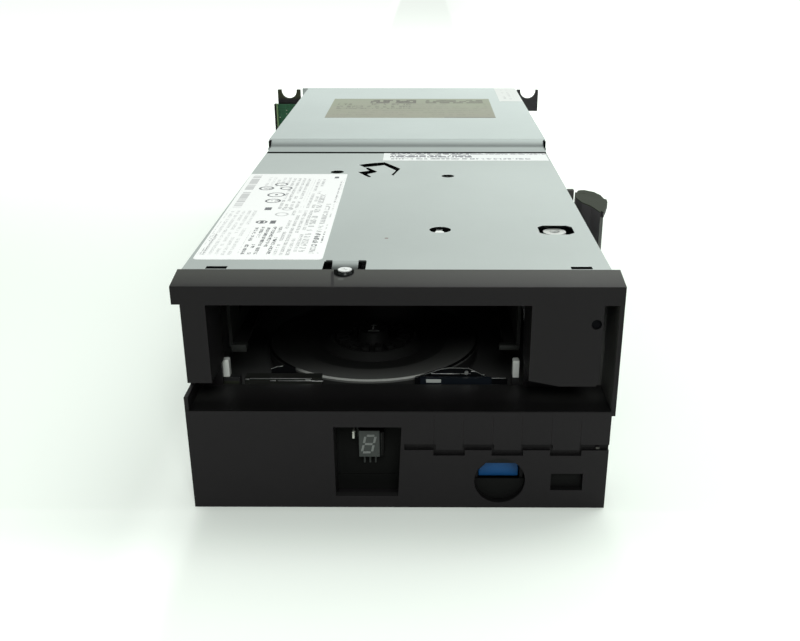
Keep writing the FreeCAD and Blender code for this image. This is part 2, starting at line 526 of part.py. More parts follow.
def bezel():
    """The black front moulding: brow, tape opening, ledge, side walls and the lower block."""
    solids = [
        sloped_brow(),
        block(("frame_left", "brow_right"), (0, "panel_thick"), ("open_top", "brow_low + 1")),
        block(("frame_left", "open_left"), (0, "panel_thick"), ("left_plate_low", "brow_low + 1")),
        right_panel(),
        block(("open_left - cheek_thick", "open_left"), (0, "bezel_rear"),
              ("left_plate_low", "brow_low + 1")),
        block(("open_right", "open_right + cheek_thick"), (0, "bezel_rear"),
              ("panel_low_inner", "brow_low + 1")),
        block(("groove_right", "brow_right"), (0, "bezel_rear"), ("right_wall_low", "brow_low + 1")),
        block(("block_left", "short_wall_in"), (0, "bezel_rear"), ("right_wall_low", "short_wall_top")),
        block(("block_left", "short_wall_in"), ("bezel_rear / 2", "bezel_rear"),
              ("right_wall_low", "brow_low + 1")),
        block(("block_left", "groove_right + 0.5"), (0, "bezel_rear"), ("ledge - ledge_thick", "ledge")),
        block(("short_wall_in - 0.5", "open_left - cheek_thick + 0.5"),
              ("bezel_rear - back_thick", "bezel_rear"), ("ledge - 0.5", "brow_low + 1")),
        block(("open_right + 0.5", "groove_right + 0.5"), ("bezel_rear - back_thick", "bezel_rear"),
              ("ledge - 0.5", "brow_low + 1")),
        block(("block_left", "block_right"), (0, "skin"), (0, "ledge")),
        block(("block_left", "block_left + side_thick"), (0, "bezel_rear"), (0, "ledge")),
        block(("block_right - side_thick", "block_right"), (0, "bezel_rear"), (0, "ledge")),
        block(("block_left", "block_right"), (0, "bezel_rear"), (0, "origin_rise - fit_gap")),
    ]
    inside = ("skin - 0.5", "front_card_face - fit_gap")
    for edge in ("bay_left - bay_wall", "bay_right"):
        solids.append(block((edge, f"{edge} + bay_wall"), inside, (0, "bay_top + bay_wall")))
    solids.append(block(("bay_left - bay_wall", "bay_right + bay_wall"), inside,
                        ("bay_top", "bay_top + bay_wall")))
    for low in ("button_left - fit_gap - guide_wall", "button_right + fit_gap"):
        solids.append(block((low, f"{low} + guide_wall"), inside, ("button_low", "button_top")))
    tools = [
        display_bay(),
        rod(("eject_across", "eject_up"), "eject_radius", -1, "skin + 1", "y"),
        block(("key_left", "key_right"), (-1, "skin + 1"), ("key_low", "key_top")),
        rod(("pin_hole_across", "pin_hole_up"), "pin_hole_radius", -1, "panel_thick + 1", "y"),
        rod(("screw_across", "screw_bay_along"), "screw_bay_half", "cover_top - screw_bay_deep",
            "brow_rear_top + 1"),
        block(("screw_across - screw_bay_half", "screw_across + screw_bay_half"),
              ("screw_bay_along", "brow_depth + 1"), ("cover_top - screw_bay_deep", "brow_rear_top + 1")),
        *crenel_slits(),
    ]
    shell = cut(fuse(*solids), *tools)

    def outer_front(middle, edge):
        """The long front edges of the brow and the lower block."""
        front = abs(middle.y + SIZES["origin_depth"]) < 0.01
        top = abs(middle.z - SIZES["brow_front_top"] + SIZES["origin_rise"]) < 0.01
        foot = abs(middle.z + SIZES["origin_rise"]) < 0.01
        return front and (top or foot) and edge.Length > 100

    subpart("bezel", rounded(shell, SIZES["front_rounding"], outer_front))


def front_card():
    """The small circuit card behind the lower block."""
    made = Body("front_card")
    drawn = made.sketch("XZ_Plane", "front_card_face")
    made.outline(drawn, corner_frame("front_card_left", "front_card_right", "front_card_low",
                                     "front_card_top"))
    made.pad(drawn, "card_thick", back=True)
    subpart("front_card", made.body)
    digit = block(("digit_left", "digit_right"), ("digit_face", "front_card_face"),
                  ("digit_low", "digit_top"))
    side = block(("digit_right", "digit_right + digit_side"), ("digit_face + 1", "front_card_face"),
                 ("digit_low", "digit_top - 1"))
    leads = []
    for n in (-1, 0, 1):
        middle = f"(digit_left + digit_right) / 2 + {n} * lead_step"
        leads.append(block((f"{middle} - lead_half", f"{middle} + lead_half"),
                           ("front_card_face - lead_deep", "front_card_face"),
                           ("digit_low - lead_drop", "digit_low + 0.5")))
    subpart("display_digit", fuse(digit, side, *leads))
    subpart("status_lamp", block(("pipe_left", "pipe_left + pipe_thick"), ("pipe_face", "front_card_face"),
                                 ("pipe_low", "pipe_high")))


def eject_button():
    """The blue cap with its stem, and the switch that it presses."""
    cap = block(("button_left", "button_right"), ("button_face", "button_rear"), ("button_low", "button_top"))

    def top_corner(middle, edge):
        """The edges of the cap's two upper corners, which run front to back."""
        high = middle.z > SIZES["button_top"] - SIZES["origin_rise"] - 0.1
        return high and edge.Length < 4

    rounded_cap = rounded(cap, SIZES["button_rounding"], top_corner)
    stem = block(("eject_across - stem_wide / 2", "eject_across + stem_wide / 2"),
                 ("button_rear - 1", "stem_rear"), ("stem_low", "stem_top"))
    subpart("eject_button", fuse(rounded_cap, stem))
    switch = block(("eject_across - switch_half", "eject_across + switch_half"),
                   ("stem_rear + button_travel + switch_gap", "switch_rear"), ("stem_low", "stem_top"))
    subpart("eject_switch", switch)


# ---------------------------------------------------------------- reels, rollers and head


def lathe(label, x, y, half_outline):
    """A turned part on an upright axis, from its half outline as radius and height."""
    made = Body(label)
    made.turned(made.outline(made.sketch("XZ_Plane", 0), half_outline), x, y)
    return subpart(label, made.body)


CHUCK_TEETH = 18


def supply_drive():
    """The supply motor with its spindle, and the turntable whose toothed chuck drives the cartridge."""
    at = ("supply_across", "supply_along")
    can = rod(at, "motor_radius", "motor_low", "deck_top + motor_rise")
    flange = rod(at, "motor_radius + motor_flange", "deck_top", "deck_top + motor_rise")
    spindle = rod(at, "spindle_radius", "deck_top", "spindle_top")
    subpart("supply_motor", fuse(can, flange, spindle))
    bore = "spindle_radius + spindle_gap"
    made = Body("supply_turntable")
    profile = [(bore, "table_low"), ("table_radius", "table_low"),
               ("table_radius", "table_top - rim_bevel"), ("table_radius - rim_bevel", "table_top"),
               ("table_radius - table_rim", "table_top"), ("chuck_foot", "table_web"),
               ("chuck_radius + 1", "chuck_rise"), ("chuck_radius", "chuck_rise"),
               ("chuck_radius - 1", "chuck_dish"),
               ("chuck_bore", "chuck_dish"), ("nose_radius", "chuck_top"), (bore, "chuck_top")]
    made.turned(made.outline(made.sketch("XZ_Plane", 0), profile), *at)
    tooth = made.sketch("XY_Plane", "chuck_tooth_low")
    made.outline(tooth, [("chuck_tooth_in", "-chuck_tooth_tip"), ("chuck_tooth_out", "-chuck_tooth_half"),
                         ("chuck_tooth_out", "chuck_tooth_half"), ("chuck_tooth_in", "chuck_tooth_tip")])
    tooth_pad = made.pad(tooth, "chuck_tooth_high")
    made.ring_of(tooth_pad, CHUCK_TEETH)
    subpart("supply_turntable", made.body)


def takeup_drive():
    """The take-up motor with its spindle, and the flanged reel on it."""
    at = ("takeup_across", "takeup_along")
    can = rod(at, "takeup_motor_radius", "motor_low", "deck_top + motor_rise")
    flange = rod(at, "takeup_motor_radius + motor_flange", "deck_top", "deck_top + motor_rise")
    spindle = rod(at, "spindle_radius", "deck_top", "reel_top - reel_dish - 1")
    subpart("takeup_motor", fuse(can, flange, spindle))
    bore = "spindle_radius + spindle_gap"
    low, high, f = "reel_low", "reel_top", "reel_flange"
    lathe("takeup_reel", *at, [
        (bore, f"{low} - reel_boss_drop"), ("reel_boss", f"{low} - reel_boss_drop"), ("reel_foot", low),
        ("reel_radius", low),
        ("reel_radius", f"{low} + {f}"), ("reel_hub", f"{low} + {f}"), ("reel_hub", f"{high} - {f}"),
        ("reel_radius", f"{high} - {f}"), ("reel_radius", high), ("reel_hub - reel_dish", high),
        ("reel_hub - reel_dish - 1", f"{high} - reel_dish"), (bore, f"{high} - reel_dish")])


ROLLERS = ((-55.0, 138.6), (-57.0, 156.0), (-27.0, 175.4), (-16.0, 189.0))


def tape_path():
    """Four flanged guide rollers on their posts."""
    r, f, low, high = "roller_radius", "roller_flange", "roller_low", "roller_top"
    bore, lip = "post_radius + post_gap", "roller_lip"
    posts = []
    for number, spot in enumerate(ROLLERS, start=1):
        lathe(f"guide_roller_{number}", *spot, [
            (bore, low), (f, low), (f, f"{low} + {lip}"), (r, f"{low} + {lip}"),
            (r, f"{high} - {lip}"), (f, f"{high} - {lip}"), (f, high), (bore, high)])
        posts.append(fuse(rod(spot, "post_radius", "deck_top", "post_top"),
                          rod(spot, "post_radius + post_collar", "deck_top", "roller_low - fit_gap")))
    subpart("roller_posts", group(*posts))


def head_lift():
    """The tape head on its carriage, which climbs two rods, and the motor beneath."""
    x, y = "head_across", "head_along"
    centres = [(f"{x} + {side} * rod_apart / 2", f"{y} + rod_behind") for side in (-1, 1)]
    rods = [fuse(rod(centre, "rod_radius", "deck_top", "rod_top"),
                 rod(centre, "rod_radius + post_collar", "deck_top", "deck_top + rod_foot"))
            for centre in centres]
    subpart("head_rods", group(*rods))
    core = block((f"{x} - head_left", f"{x} + head_right"), (f"{y} - head_front", f"{y} + head_back"),
                 ("head_low", "head_top"))
    nose = rod((f"{x} - head_left", f"{y} - head_nose_back"), "head_nose_radius",
               "head_low + head_nose_inset", "head_top - head_nose_inset")
    subpart("tape_head", fuse(core, nose))
    carriage = block((f"{x} - carriage_half", f"{x} + carriage_half"),
                     (f"{y} + head_back", f"{y} + carriage_back"), ("carriage_low", "carriage_top"))
    bores = [rod(centre, "rod_radius + rod_gap", "carriage_low - 1", "carriage_top + 1") for centre in centres]
    subpart("head_carriage", cut(carriage, *bores))
    can = rod((x, y), "head_motor_radius", "motor_low", "deck_top + head_motor_rise")
    screw_top = "deck_top + head_motor_rise + lead_screw_long"
    lead_screw = rod((x, y), "lead_screw_radius", "deck_top + head_motor_rise", screw_top)
    subpart("head_motor", fuse(can, lead_screw))


def threading_arm():
    """The arm that draws the tape's leader pin from the cartridge to the take-up reel."""
    at = ("arm_pivot_across", "arm_pivot_along")
    subpart("arm_post", fuse(rod(at, "arm_post_radius", "deck_top", "arm_top + 0.6"),
                             rod(at, "arm_hub", "deck_top", "deck_top + 3"),
                             cone(at, "arm_hub - 1", "arm_hub - 2", "deck_top + 3", "arm_low - fit_gap")))
    made = Body("threading_arm")
    flat = made.sketch("XY_Plane", "arm_low")
    made.circle(flat, 0, 0, "arm_hub")
    made.circle(flat, 0, 0, "arm_post_radius + post_gap")
    made.pad(flat, "arm_top - arm_low")
    beam = made.sketch("XY_Plane", "arm_low")
    half_claw = [("arm_hub - arm_neck", "arm_half"), ("arm_reach - arm_claw", "arm_half - 1"),
                 ("arm_reach", "arm_half + arm_neck"), ("arm_reach + arm_claw", "arm_half + 0.6"),
                 ("arm_reach + arm_mouth_deep", "arm_mouth")]
    made.outline(beam, half_claw + [(x, f"-({y})") for x, y in reversed(half_claw)])
    made.pad(beam, "arm_top - arm_low")
    made.body.Placement = Placement(Vector(), Rotation(Vector(0, 0, 1), SIZES["arm_rest_turn"]))
    place(made.body, *at, 0)
    subpart("threading_arm", made.body)


# ---------------------------------------------------------------- cartridge tray and loader


TRAY_SLOTS = 4


def cartridge_tray():
    """The open basket that holds the cartridge: two rails with lips, a rear bridge and two cam pins."""
    left, right, t = "tray_left", "tray_right", "rail_thick"
    ends, floor = ("tray_front", "tray_rear"), ("tray_low", "tray_low + tray_sheet")
    solids = [
        block((left, f"{left} + {t}"), ends, ("tray_low", "tray_top")),
        block((f"{right} - {t}", right), ends, ("tray_low", "tray_top")),
        block((left, f"{left} + tray_lip"), ends, floor),
        block((f"{right} - tray_lip", right), ends, floor),
        block(("bridge_left", right), (f"tray_rear - {t}", "tray_rear"), ("bridge_low", "tray_top")),
        block((left, right), ("tray_rear - tie_front", "tray_rear - tie_rear"),
              ("tray_top - tray_sheet", "tray_top")),
    ]
    for y in ("cam_pin_first", "cam_pin_second"):
        solids.append(rod((y, "cam_pin_up"), "cam_pin_radius", f"{right} - {t}", "slider_out", "x"))
    slots = []
    for n in range(TRAY_SLOTS):
        front = f"tray_front + tray_slot_first + {n} * tray_slot_step"
        slots.append(block((f"{left} - 1", f"{left} + {t} + 0.01"), (front, f"{front} + tray_slot_long"),
                           ("tray_low + tray_slot_low", "tray_top - tray_slot_top")))
    subpart("cartridge_tray", cut(fuse(*solids), *slots))


# the rack's first tooth, in pitches from the gear's own line, and its number of teeth
RACK_START, RACK_TEETH = -9.5, 14


def slider_plate():
    """The loader's side plate: a rack along its top and two slanted cam slots for the tray's pins."""
    made = Body("loader_slider")
    face = made.sketch("YZ_Plane", "slider_in")
    made.outline(face, [("slider_front", "slider_low"), ("slider_rear", "slider_low"),
                        ("slider_rear", "slider_top"), ("slider_front", "slider_top")])
    made.pad(face, "slider_out - slider_in")
    slope = SIZES["tray_drop"] / SIZES["slider_travel"]
    reach = "(cam_pin_radius + cam_gap)"
    for y in ("cam_pin_first", "cam_pin_second"):
        slot = made.sketch("YZ_Plane", "slider_in")
        far = f"{y} - slider_travel - {reach}"
        made.outline(slot, [
            (f"{y} + {reach}", f"cam_pin_up - {reach} * 1.2"),
            (f"{y} + {reach}", f"cam_pin_up + {reach} * 1.2 + {reach} * {slope}"),
            (f"{y} - {reach}", f"cam_pin_up + {reach} * 1.2"),
            (far, f"cam_pin_up - tray_drop + {reach} * 1.2"),
            (far, f"cam_pin_up - tray_drop - {reach} * 1.2"),
            (f"{far} + {reach}", f"cam_pin_up - tray_drop - {reach} * 1.2")])
        made.pocket(slot, "slider_out - slider_in + 1", back=True)
    pitch = math.pi * SIZES["gear_module"]
    pitch_line = "(gear_across - gear_module * gear_teeth / 2)"
    back_bar = made.sketch("XY_Plane", "gear_low")
    made.outline(back_bar, corner_frame("slider_out - 0.5", f"{pitch_line} - tooth_root",
                                        "slider_front", "slider_rear"))
    made.pad(back_bar, "slider_top - gear_low")
    start = f"gear_along + {RACK_START * pitch:.4f}"
    tooth = made.sketch("XY_Plane", "gear_low")
    made.outline(tooth, [(f"{pitch_line} - tooth_root - 0.3", f"{start} - tooth_root_half"),
                         (pitch_line, f"{start} - tooth_half"),
                         (f"{pitch_line} + tooth_add", f"{start} - tooth_tip_half"),
                         (f"{pitch_line} + tooth_add", f"{start} + tooth_tip_half"),
                         (pitch_line, f"{start} + tooth_half"),
                         (f"{pitch_line} - tooth_root - 0.3", f"{start} + tooth_root_half")])
    tooth_pad = made.pad(tooth, "gear_top - gear_low")
    made.row_of(tooth_pad, RACK_TEETH, f"{(RACK_TEETH - 1) * pitch:.4f}")
    subpart("loader_slider", made.body)


def spur_gear(label, x, y, teeth, first_angle, bore, cap=False):
    """A straight-toothed gear on an upright axis, with a tooth at the first angle and perhaps a tall hub."""
    made = Body(label)
    pitch_radius = f"gear_module * {teeth} / 2"
    disc = made.sketch("XY_Plane", "gear_low")
    made.circle(disc, 0, 0, f"{pitch_radius} - tooth_root")
    made.circle(disc, 0, 0, bore)
    made.pad(disc, "gear_top - gear_low")
    tooth = made.sketch("XY_Plane", "gear_low")
    root = f"{pitch_radius} - tooth_root - 0.4"
    made.outline(tooth, [(root, "-tooth_root_half"), (pitch_radius, "-tooth_half"),
                         (f"{pitch_radius} + tooth_add", "-tooth_tip_half"),
                         (f"{pitch_radius} + tooth_add", "tooth_tip_half"),
                         (pitch_radius, "tooth_half"), (root, "tooth_root_half")])
    tooth_pad = made.pad(tooth, "gear_top - gear_low")
    made.ring_of(tooth_pad, int(SIZES[teeth]))
    if cap:
        hub = made.sketch("XY_Plane", "gear_top")
        made.circle(hub, 0, 0, "gear_cap_radius")
        made.circle(hub, 0, 0, bore)
        made.pad(hub, "gear_cap_top - gear_top")
    made.body.Placement = Placement(Vector(), Rotation(Vector(0, 0, 1), first_angle))
    place(made.body, x, y, 0)
    return subpart(label, made.body)


def loader_train():
    """The rack's gear, the motor's pinion, and the parts that carry them."""
    gear_at = ("gear_across", "gear_along")
    apart = "gear_module * (gear_teeth + pinion_teeth) / 2"
    motor_at = ("gear_across", f"gear_along + {apart}")
    spur_gear("load_gear", *gear_at, "gear_teeth", 180, "gear_post_radius + post_gap", cap=True)
    spur_gear("motor_pinion", *motor_at, "pinion_teeth", 270, "motor_shaft_radius + post_gap")
    subpart("gear_post", fuse(rod(gear_at, "gear_post_radius", "deck_top", "gear_cap_top - 0.6"),
                              rod(gear_at, "gear_post_radius + gear_collar", "deck_top",
                                  "gear_low - fit_gap")))
    can = rod(motor_at, "loader_motor_radius", "loader_motor_low", "loader_motor_top")
    shaft = rod(motor_at, "motor_shaft_radius", "loader_motor_top - 1", "gear_top + 0.8")
    bracket = block(("gear_across - bracket_left", "gear_across + bracket_right"),
                    (f"gear_along + {apart} + bracket_front", f"gear_along + {apart} + bracket_rear"),
                    ("deck_top", "loader_motor_low + bracket_grip"))
    subpart("loader_motor", fuse(can, shaft, bracket))


def slot_furniture():
    """The white guide posts, the spring strip and the small sensor card just behind the ledge."""
    posts, feet = [], []
    depth = ("post_front", "post_front + post_deep")
    for low, foot_wide in (("left_post", "foot_wide"), ("right_post", "post_wide")):
        post = block((low, f"{low} + post_wide"), depth, ("post_low", "post_high"))
        posts.append(rounded(post, SIZES["post_rounding"],
                             lambda m, e: m.z > SIZES["post_high"] - SIZES["origin_rise"] - 0.2))
        feet.append(block((low, f"{low} + {foot_wide}"), depth, ("rail_top - 0.5", "post_low - 0.1")))
    subpart("guide_posts", group(*posts))
    width = ("spring_left", "spring_right")
    strip = block(width, ("spring_front", "spring_front + spring_thick"),
                  ("rail_top + strip_seat", "spring_top"))
    fold = block(width, ("spring_front", "spring_front + spring_deep"),
                 ("spring_top - spring_fold", "spring_top"))
    subpart("cartridge_spring", fuse(strip, fold))
    subpart("sensor_card", block(("sensor_left", "sensor_right"),
                                 ("post_front", "post_front + sensor_thick"),
                                 ("rail_top + strip_seat", "sensor_top")))
    rail = block(("rail_left", "rail_right"), ("rail_front", "rail_rear"), ("deck_low", "rail_top"))
    end = block(("left_post", "rail_left + 1"), ("post_front", "rail_rear"), ("deck_low", "rail_top"))
    subpart("front_rail", fuse(rail, end, *feet))


# ---------------------------------------------------------------- side latch


PADDLE = [(82.7, 91.0), (85.0, 99.2), (87.2, 108.0), (87.6, 112.4), (86.7, 113.4), (86.2, 120.0),
          (84.3, 125.6), (80.4, 129.3), (77.4, 128.0), (75.2, 120.0), (74.8, 115.7), (76.3, 107.3),
          (79.2, 101.2)]


def side_latch():
    """The moulded release lever on the right wall, its pivot pin and the mount that holds the pin."""
    pin = ("latch_pin_across", "latch_pin_along")
    made = Body("side_latch")
    body = made.sketch("XY_Plane", "latch_low")
    made.outline(body, [(f"{x} - latch_lip" if x > 80 else x, y) for x, y in PADDLE])
    made.pad(body, "latch_top - latch_low")
    cap = made.sketch("XY_Plane", "latch_top - latch_cap")
    made.outline(cap, PADDLE)
    made.pad(cap, "latch_cap")
    bore = made.sketch("XY_Plane", "latch_top")
    made.circle(bore, *pin, "latch_pin_radius + latch_gap")
    made.pocket(bore, "latch_top - latch_low + 1", back=False)
    subpart("side_latch", made.body)
    plate = block(("latch_mount_in", "latch_mount_in + latch_mount_thick"), ("mount_front", "mount_rear"),
                  ("mount_low", "mount_top"))
    lug = block(("latch_mount_in", "latch_pin_across + lug_reach"), ("lug_front", "lug_rear"),
                ("lug_low", "latch_low - latch_rest_gap"))
    subpart("latch_mount", fuse(plate, lug))
    shaft = rod(pin, "latch_pin_radius", "lug_low", "latch_top - latch_cap")
    head = rod(pin, "latch_pin_radius + 1", "lug_low - latch_head_thick", "lug_low")
    subpart("latch_pin", fuse(shaft, head))


# ---------------------------------------------------------------- circuit cards


def chips(face, spots):
    """Flat packages standing on a card: each is its lowest corner, size and height."""
    return [block((x, f"{x} + {wide}"), (y, f"{y} + {deep}"), (face, f"{face} + {tall}"))
            for x, y, wide, deep, tall in spots]


# each package: left, front, width, depth, height
LOGIC_PACKAGES = ((-52, 130, 28, 28, 2.4), (-10, 136, 22, 22, 2.2), (20, 128, 14, 10, 1.4),
                  (38, 150, 18, 12, 1.6), (-56, 172, 20, 14, 1.6), (-20, 176, 12, 20, 1.4),
                  (44, 60, 14, 22, 2.0), (-60, 60, 14, 20, 2.0), (44, 100, 16, 16, 1.8))
POWER_PACKAGES = ((-58, 240, 30, 34, 22), (-20, 240, 24, 24, 16), (16, 250, 44, 10, 26),
                  (16, 274, 44, 10, 26), (-58, 300, 16, 50, 12), (-30, 330, 20, 20, 3))
POWER_CANS = ((-2, 300), (18, 306), (38, 306), (56, 306), (-2, 322))
VENTS = 10
POWER_STANDOFFS = [(x, y) for x in (-60, 60) for y in (228, 378)]
LOGIC_STANDOFFS = [(x, y) for x in (-56, 56) for y in (50, 198)]
LINK_STANDOFFS = [(x, z) for x in (-94, -79) for z in (30, 66)]


def logic_cards():
    """The main logic card under the deck, and the power card in the rear extension."""
    logic_face = "logic_low + card_thick"
    subpart("logic_card", block(("-logic_half", "logic_half"), ("logic_front", "logic_rear"),
                                ("logic_low", logic_face)))
    subpart("logic_chips", group(*chips(logic_face, LOGIC_PACKAGES)))
    power_face = "power_low + card_thick"
    subpart("power_card", block(("-power_half", "power_half"), ("power_front", "power_rear"),
                                ("power_low", power_face)))
    cans = [rod(spot, "can_radius", power_face, f"{power_face} + can_high") for spot in POWER_CANS]
    subpart("power_parts", group(*chips(power_face, POWER_PACKAGES), *cans))
    lid = block(("-shield_half", "shield_half"), ("shield_front", "power_rear"),
                ("shield_low", "shield_low + shield_thick"))
    vents = []
    for n in range(VENTS):
        front = f"vent_first + {n} * vent_step"
        vents.append(block(("-vent_half", "vent_half"), (front, f"{front} + vent_long"),
                           ("shield_low - 1", "shield_low + shield_thick + 1")))
    subpart("power_shield", cut(lid, *vents))
    posts = [rod(spot, "standoff_radius", "sheet + 0.2", "power_low") for spot in POWER_STANDOFFS]
    posts += [rod(spot, "standoff_radius", "origin_rise + floor_thick", "logic_low")
              for spot in LOGIC_STANDOFFS]
    posts += [rod(spot, "link_standoff_radius", "link_rear", "fork_front", "y") for spot in LINK_STANDOFFS]
    subpart("card_standoffs", group(*posts))


# ---------------------------------------------------------------- rear extension


def rear_shells():
    """The rear extension's lower tray and its raised cover."""
    b, s = "rear_half", "sheet"
    ends = ("rear_front", "rear_end")
    subpart("rear_tray", fuse(
        block((f"-{b}", b), ends, (0, s)),
        block((f"-{b}", f"-{b} + {s}"), ends, (0, "tray_wall_top")),
        block((f"{b} - {s}", b), ends, (0, "tray_wall_top")),
        block((f"-{b}", b), ("rear_front", f"rear_front + {s}"), (0, "tray_lip_top"))))
    made = Body("rear_cover")
    side = made.sketch("YZ_Plane", f"-{b}")
    made.outline(side, [("rear_front", "rear_flange_low"), ("rear_end", "rear_flange_low"),
                        ("rear_end", "rear_top"), ("riser_end", "rear_top"),
                        ("crease_along", "cover_top"), ("rear_front", "cover_top")])
    made.pad(side, f"2 * {b}")
    inner = made.sketch("YZ_Plane", f"-{b} + {s}")
    made.outline(inner, [("rear_front - 1", "rear_flange_low - 1"), ("rear_end + 1", "rear_flange_low - 1"),
                         ("rear_end + 1", f"rear_top - {s}"), ("riser_end + 0.2", f"rear_top - {s}"),
                         ("crease_along + 0.2", f"cover_top - {s}"), ("rear_front - 1", f"cover_top - {s}")])
    made.pocket(inner, f"2 * {b} - 2 * {s}", back=True)
    for low, high in ((f"-{b} - 1", f"-{b} + riser_notch / 2"), (f"{b} - riser_notch / 2", f"{b} + 1")):
        notch = made.sketch("XY_Plane", "rear_top + 1")
        made.outline(notch, corner_frame(low, high, "crease_along - 1", "riser_end - 1"))
        made.pocket(notch, "rear_top - cover_top + 4", back=False)
    lap_end = "crease_along - 1"
    for side in ("-1", "1"):
        out, edge, inner = f"{side} * ({b} + 1)", f"{side} * strip_half", f"{side} * (strip_half - {s})"
        shoulder = made.sketch("XY_Plane", "rear_top + 1")
        made.outline(shoulder, corner_frame(edge, out, "rear_front - 1", lap_end))
        made.pocket(shoulder, "rear_top - rear_flange_low + 3", back=False)
        wall = made.sketch("XY_Plane", "rear_flange_low")
        made.outline(wall, [(edge, "rear_front"), (inner, "rear_front"), (inner, f"{lap_end} + {s}"),
                            (f"{side} * {b}", f"{lap_end} + {s}"), (f"{side} * {b}", lap_end), (edge, lap_end)])
        made.pad(wall, f"cover_top - {s} - rear_flange_low")
    subpart("rear_cover", made.body)


# each opening: left, right, foot, top; the library connector first, then the two optical ports
SOCKETS = ((-64, -24, 22, 34), (-64, -50, 44, 56), (-46, -32, 44, 56))
GRILLE_RINGS = (8, 14, 20)


def rear_panel():
    """The back panel with its fan grille and the three connector openings."""
    plate = block(("-rear_half + sheet + panel_inset", "rear_half - sheet - panel_inset"),
                  ("panel_face", "panel_face + sheet"),
                  ("sheet + panel_inset", "rear_top - sheet - panel_inset"))
    at = ("fan_across", "fan_up")
    tools = [rod(at, "fan_hole", "panel_face - 1", "panel_face + 2", "y")]
    for low, high, foot, top in SOCKETS:
        tools.append(block((low, high), ("panel_face - 1", "panel_face + 2"), (foot, top)))
    face = ("panel_face", "panel_face + sheet")
    rings = [cut(rod(at, f"{r} + grille_wire", *face, "y"),
                 rod(at, r, "panel_face - 1", "panel_face + 2", "y")) for r in GRILLE_RINGS]
    bars = [block(("fan_across - fan_hole", "fan_across + fan_hole"), face,
                  ("fan_up - grille_wire", "fan_up + grille_wire")),
            block(("fan_across - grille_wire", "fan_across + grille_wire"), face,
                  ("fan_up - fan_hole", "fan_up + fan_hole"))]
    hub = rod(at, "3 * grille_wire", *face, "y")
    subpart("rear_panel", fuse(cut(plate, *tools), *rings, *bars, hub))


CONTACTS = 12


def rear_connectors():
    """The blind-mating connector and two optical ports, open to the rear."""
    shells = []
    for low, high, foot, top in SOCKETS:
        out, wall = "port_gap", "(port_gap + port_wall)"
        shell = block((f"{low} + {out}", f"{high} - {out}"),
                      ("panel_face - port_deep", "panel_face + port_out"),
                      (f"{foot} + {out}", f"{top} - {out}"))
        mouth = block((f"{low} + {wall}", f"{high} - {wall}"),
                      ("panel_face - port_mouth", "panel_face + port_out + 1"),
                      (f"{foot} + {wall}", f"{top} - {wall}"))
        shells.append(cut(shell, mouth))
    contacts = []
    for n in range(CONTACTS):
        low = f"contact_first + {n} * contact_step"
        contacts.append(block((low, f"{low} + contact_thick"),
                              ("panel_face - contact_root", "panel_face - contact_tip"),
                              ("contact_low", "contact_low + contact_thick")))
    subpart("library_connector", fuse(shells[0], *contacts))
    subpart("optical_ports", group(*shells[1:]))


BLADES = 7


def cooling_fan():
    """The square fan frame and its bladed rotor."""
    lo, hi = "fan_across - fan_half", "fan_across + fan_half"
    at = ("fan_across", "fan_up")
    frame = cut(block((lo, hi), ("fan_front", "fan_rear"), ("fan_up - fan_half", "fan_up + fan_half")),
                rod(at, "rotor_radius + rotor_clear", "fan_front - 1", "fan_rear + 1", "y"))
    back = "fan_rear - strut_inset"
    depth = (f"{back} - strut_thick", back)
    struts = [block((lo, hi), depth, ("fan_up - strut_half", "fan_up + strut_half")),
              block(("fan_across - strut_half", "fan_across + strut_half"), depth,
                    ("fan_up - fan_half", "fan_up + fan_half")),
              rod(at, "rotor_hub", *depth, "y"),
              rod(at, "fan_pin_radius", "fan_front + rotor_front + blade_start", back, "y")]
    subpart("fan_frame", fuse(frame, *struts))
    made = Body("fan_rotor")
    hub = made.sketch("XY_Plane", 0)
    made.circle(hub, 0, 0, "rotor_hub")
    made.circle(hub, 0, 0, "fan_pin_radius + post_gap")
    made.pad(hub, "rotor_long")
    blade = made.sketch("XY_Plane", "blade_start")
    made.outline(blade, [("rotor_hub - 1", "-1"), ("rotor_hub + 6", "-1.5"), ("rotor_radius - 0.6", "3"),
                         ("rotor_radius - 1.2", "4.6"), ("rotor_hub + 5", "0.4"), ("rotor_hub - 1", "0.8")])
    blade_pad = made.pad(blade, "blade_long")
    made.ring_of(blade_pad, BLADES)
    made.body.Placement = Placement(Vector(), AXES["y"])
    place(made.body, "fan_across", "fan_front + rotor_front", "fan_up")
    subpart("fan_rotor", made.body)


def rear_bracket():
    """The black bracket across the back, with a notched fork at each end, and its interposer card."""
    y = ("fork_front", "fork_rear")
    bar = block(("fork_left", "fork_right"), y, ("fork_low", "bar_low"))
    left = block(("fork_left", "fork_inner_left"), y, ("wing_low", "fork_top"))
    right = block(("fork_inner_right", "fork_right"), y, ("fork_low", "fork_top"))
    left_inner = block(("fork_inner_left", "wing_right"), y, ("wing_low", "bar_low + wing_rise"))
    notches = [rod((x, "fork_top - notch_rise"), "fork_notch_radius", "fork_front - 1", "fork_rear + 1", "y")
               for x in ("left_notch_across", "right_notch_across")]
    subpart("rear_bracket", cut(fuse(bar, left, right, left_inner), *notches))
    card = Body("interposer_card")
    drawn = card.sketch("XZ_Plane", "link_rear - card_thick")
    card.outline(drawn, corner_frame("link_left", "link_right", "link_low", "link_top"))
    card.pad(drawn, "card_thick", back=True)
    subpart("interposer_card", card.body)
    subpart("card_stiffener", block(("link_left", "link_left + link_bar_wide"),
                                    ("link_rear - link_bar_deep", "link_rear - card_thick"),
                                    ("link_low", "link_top + link_bar_rise")))


# ---------------------------------------------------------------- fasteners and labels


